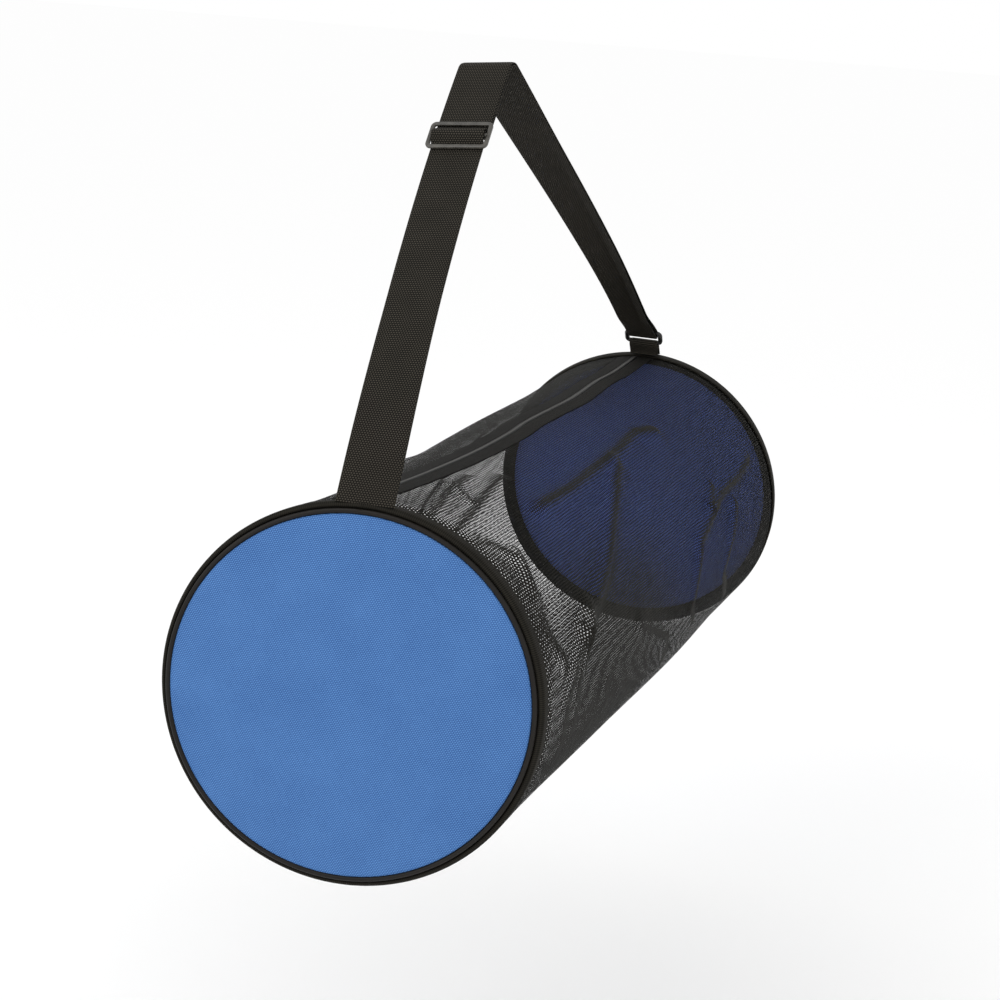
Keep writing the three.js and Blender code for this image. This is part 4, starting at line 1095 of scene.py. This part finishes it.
def build_tab(line):
    """The tab: from its patch on the band, over the ring's lower bar and down again."""
    up = np.array([line.ring_up.y, line.ring_up.z])
    ahead = np.array([-up[1], up[0]])
    bar = up * TAB_RISE
    turn = line.ring_reach + GAP + TAB_THICKNESS / 2

    def foot_of(side):
        start = bar + ahead * side * turn
        return start - up * start[1] / up[1]

    half_turn = np.linspace(0, math.pi, TAB_TURN_STEPS + 1)
    over = [bar + ahead * turn * math.cos(part) + up * turn * math.sin(part) for part in half_turn]
    front_foot = foot_of(1)
    points = [np.array([-TAB_PATCH, 0.0]), np.array([-TAB_PATCH / 2, 0.0])]
    points.append(front_foot - np.array([TAB_EASE, 0]))
    points += [lerp(front_foot, over[0], share) for share in (0.1, 0.5)]
    points += over + [lerp(over[-1], foot_of(-1), share) for share in (0.5, 1)]

    def to_space(back, height, place):
        return line.tab_foot + line.across_rear * place * TAB_WIDTH / 2 + Vector((0, back, height))

    places = np.linspace(-1, 1, TAB_COLUMNS).tolist()
    build_webbing("tab_webbing", points, TAB_THICKNESS, places, to_space, "rear_tab")


def squared(values):
    """Sines or cosines swelled towards the corners of a square."""
    return np.sign(values) * np.abs(values) ** BAR_SQUARENESS


def tube(path, size, thickness, out_of_plane, closed):
    """Rings of points round a flat path, rounded rectangles in section."""
    turn = np.linspace(0, 2 * math.pi, BAR_SIDES, endpoint=False)
    sideways = squared(np.cos(turn)) * size / 2
    height = squared(np.sin(turn)) * thickness / 2
    ahead = np.roll(path, -1, axis=0) - np.roll(path, 1, axis=0)
    if not closed:
        ahead[0] = path[1] - path[0]
        ahead[-1] = path[-1] - path[-2]
    ahead /= np.linalg.norm(ahead, axis=1)[:, None]
    side = np.cross(ahead, out_of_plane)
    spread = side[:, None, :] * sideways[None, :, None]
    rise = out_of_plane[None, None, :] * height[None, :, None]
    return path[:, None, :] + spread + rise


def build_slider(line):
    """The three-bar slider: a rounded frame and its middle bar, with the webbing round them."""
    point, along, across, normal = line.directions(line.slider_at)
    reach = bar_reach(SLIDER_BAR, (SLIDER_BAR - SLIDER_THICKNESS) / 2 + SLIDER_BEVEL)
    middle = np.array(point + normal * (reach + GAP + WEBBING_THICKNESS / 2))
    along, across, normal = np.array(along), np.array(across), np.array(normal)
    half_width = WEBBING_WIDTH / 2 + SLIDER_CLEARANCE + SLIDER_BAR / 2
    corner = SLIDER_CORNER - SLIDER_BAR / 2
    path = []
    for quarter, (a, b) in enumerate(((1, 1), (-1, 1), (-1, -1), (1, -1))):
        for turn in np.linspace(quarter, quarter + 1, CORNER_STEPS) * math.pi / 2:
            sideways = a * (half_width - corner) + corner * math.cos(turn)
            lengthways = b * (SLIDER_BAR_PITCH - corner) + corner * math.sin(turn)
            path.append(middle + across * sideways + along * lengthways)
    rings = tube(np.array(path), SLIDER_BAR, SLIDER_THICKNESS, normal, True)
    rows, columns = rings.shape[:2]
    faces = closed_tube_faces(rows, columns)
    bar_path = np.linspace(middle - across * half_width, middle + across * half_width, BAR_ROWS)
    bar_size = SLIDER_BAR * MIDDLE_BAR_SHARE
    bar = tube(bar_path, bar_size, SLIDER_THICKNESS * MIDDLE_BAR_SHARE, normal, False)
    first = rows * columns
    last = first + (BAR_ROWS - 1) * columns
    faces += grid_faces(BAR_ROWS, columns, first, ring=True)
    faces.append(tuple(range(first, first + columns)))
    faces.append(tuple(range(last, last + columns))[::-1])
    points = np.concatenate([rings.reshape(-1, 3), bar.reshape(-1, 3)])
    piece = make_object("strap_slider_plastic", points, faces)
    finish_piece(piece, SLIDER_PLASTIC, "slider_plastic", "strap_slider")


def dress_hardware():
    """The ring and the zip slider keep their solids and get rounded edges and their finish."""
    for name in ("rear_ring", "zip_slider"):
        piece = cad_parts[name]
        piece.data.materials.clear()
        piece.data.materials.append(HARDWARE)
        bevel = piece.modifiers.new("rounded edges", "BEVEL")
        bevel.width = HARDWARE_ROUNDING * MM
        bevel.segments = 2
        bevel.limit_method = "ANGLE"


def build_camera():
    heading = Vector((-math.sin(CAMERA_HEADING), math.cos(CAMERA_HEADING), 0))
    forward = heading * math.cos(CAMERA_DIP) - Vector((0, 0, math.sin(CAMERA_DIP)))
    right = forward.cross(Vector((0, 0, 1))).normalized()
    up = right.cross(forward)
    turned_right = right * math.cos(CAMERA_ROLL) + up * math.sin(CAMERA_ROLL)
    turned_up = up * math.cos(CAMERA_ROLL) - right * math.sin(CAMERA_ROLL)
    data = bpy.data.cameras.new("camera")
    data.sensor_width = CAMERA_SENSOR
    data.lens = CAMERA_LENS
    data.clip_start = 0.01
    camera = bpy.data.objects.new("camera", data)
    bpy.context.scene.collection.objects.link(camera)
    rotation = Matrix((turned_right, turned_up, -forward)).transposed()
    camera.matrix_world = Matrix.Translation(to_frame(CAMERA_EYE)) @ rotation.to_4x4()
    bpy.context.scene.camera = camera


def add_light(name, place, aim, size, power):
    data = bpy.data.lights.new(name, "AREA")
    data.shape = "SQUARE"
    data.size = size
    data.energy = power
    light = bpy.data.objects.new(name, data)
    bpy.context.scene.collection.objects.link(light)
    light.location = place
    light.rotation_euler = (Vector(aim) - Vector(place)).to_track_quat("-Z", "Y").to_euler()


def build_studio():
    """A pale floor under the hanging bag, a white surround and soft lights."""
    mesh = bpy.data.meshes.new("floor")
    height = to_frame((0, 0, -FRONT_RIM - FLOOR_DROP))[2]
    sides = ((-1, -1), (1, -1), (1, 1), (-1, 1))
    corners = [(x * FLOOR_REACH, y * FLOOR_REACH, height) for x, y in sides]
    mesh.from_pydata(corners, [], [(0, 1, 2, 3)])
    floor = bpy.data.objects.new("floor", mesh)
    bpy.context.scene.collection.objects.link(floor)
    paint = Nodes("pale floor", 0.0)
    paint.set(Base_Color=(FLOOR_SHADE, FLOOR_SHADE, FLOOR_SHADE, 1), Roughness=1.0)
    mesh.materials.append(paint.material)
    world = bpy.data.worlds.new("white surround")
    bpy.context.scene.world = world
    world.use_nodes = True
    surround = world.node_tree.nodes["Background"]
    surround.inputs["Color"].default_value = (1, 1, 1, 1)
    surround.inputs["Strength"].default_value = 1.0
    middle = to_frame((0, BAG_LENGTH / 2, 0))
    for name, place, side, power in LIGHTS:
        add_light(name, place, middle, side, power)
    bpy.context.scene.view_settings.view_transform = "Standard"


def build_all():
    build_panel("front_panel_cloth", FRONT_RIM, -1, at_front, round_front)
    build_panel("rear_panel_cloth", REAR_RIM, 1, at_rear, round_rear)
    build_piping("front_piping_cord", FRONT_RIM, at_front, round_front)
    build_piping("rear_piping_cord", REAR_RIM, at_rear, round_rear)
    build_seam("front_seam_binding", FRONT_RIM, -1, at_front, round_front)
    build_seam("rear_seam_binding", REAR_RIM, 1, at_rear, round_rear)
    build_band("front_rim_band_tape", FRONT_BAND_WIDTH, lambda share: share)
    build_band("rear_rim_band_tape", REAR_BAND_WIDTH, lambda share: 1 - share)
    build_net()
    build_zip()
    line = StrapLine()
    build_strap(line)
    build_tab(line)
    build_slider(line)
    dress_hardware()


build_camera()
build_studio()
build_all()
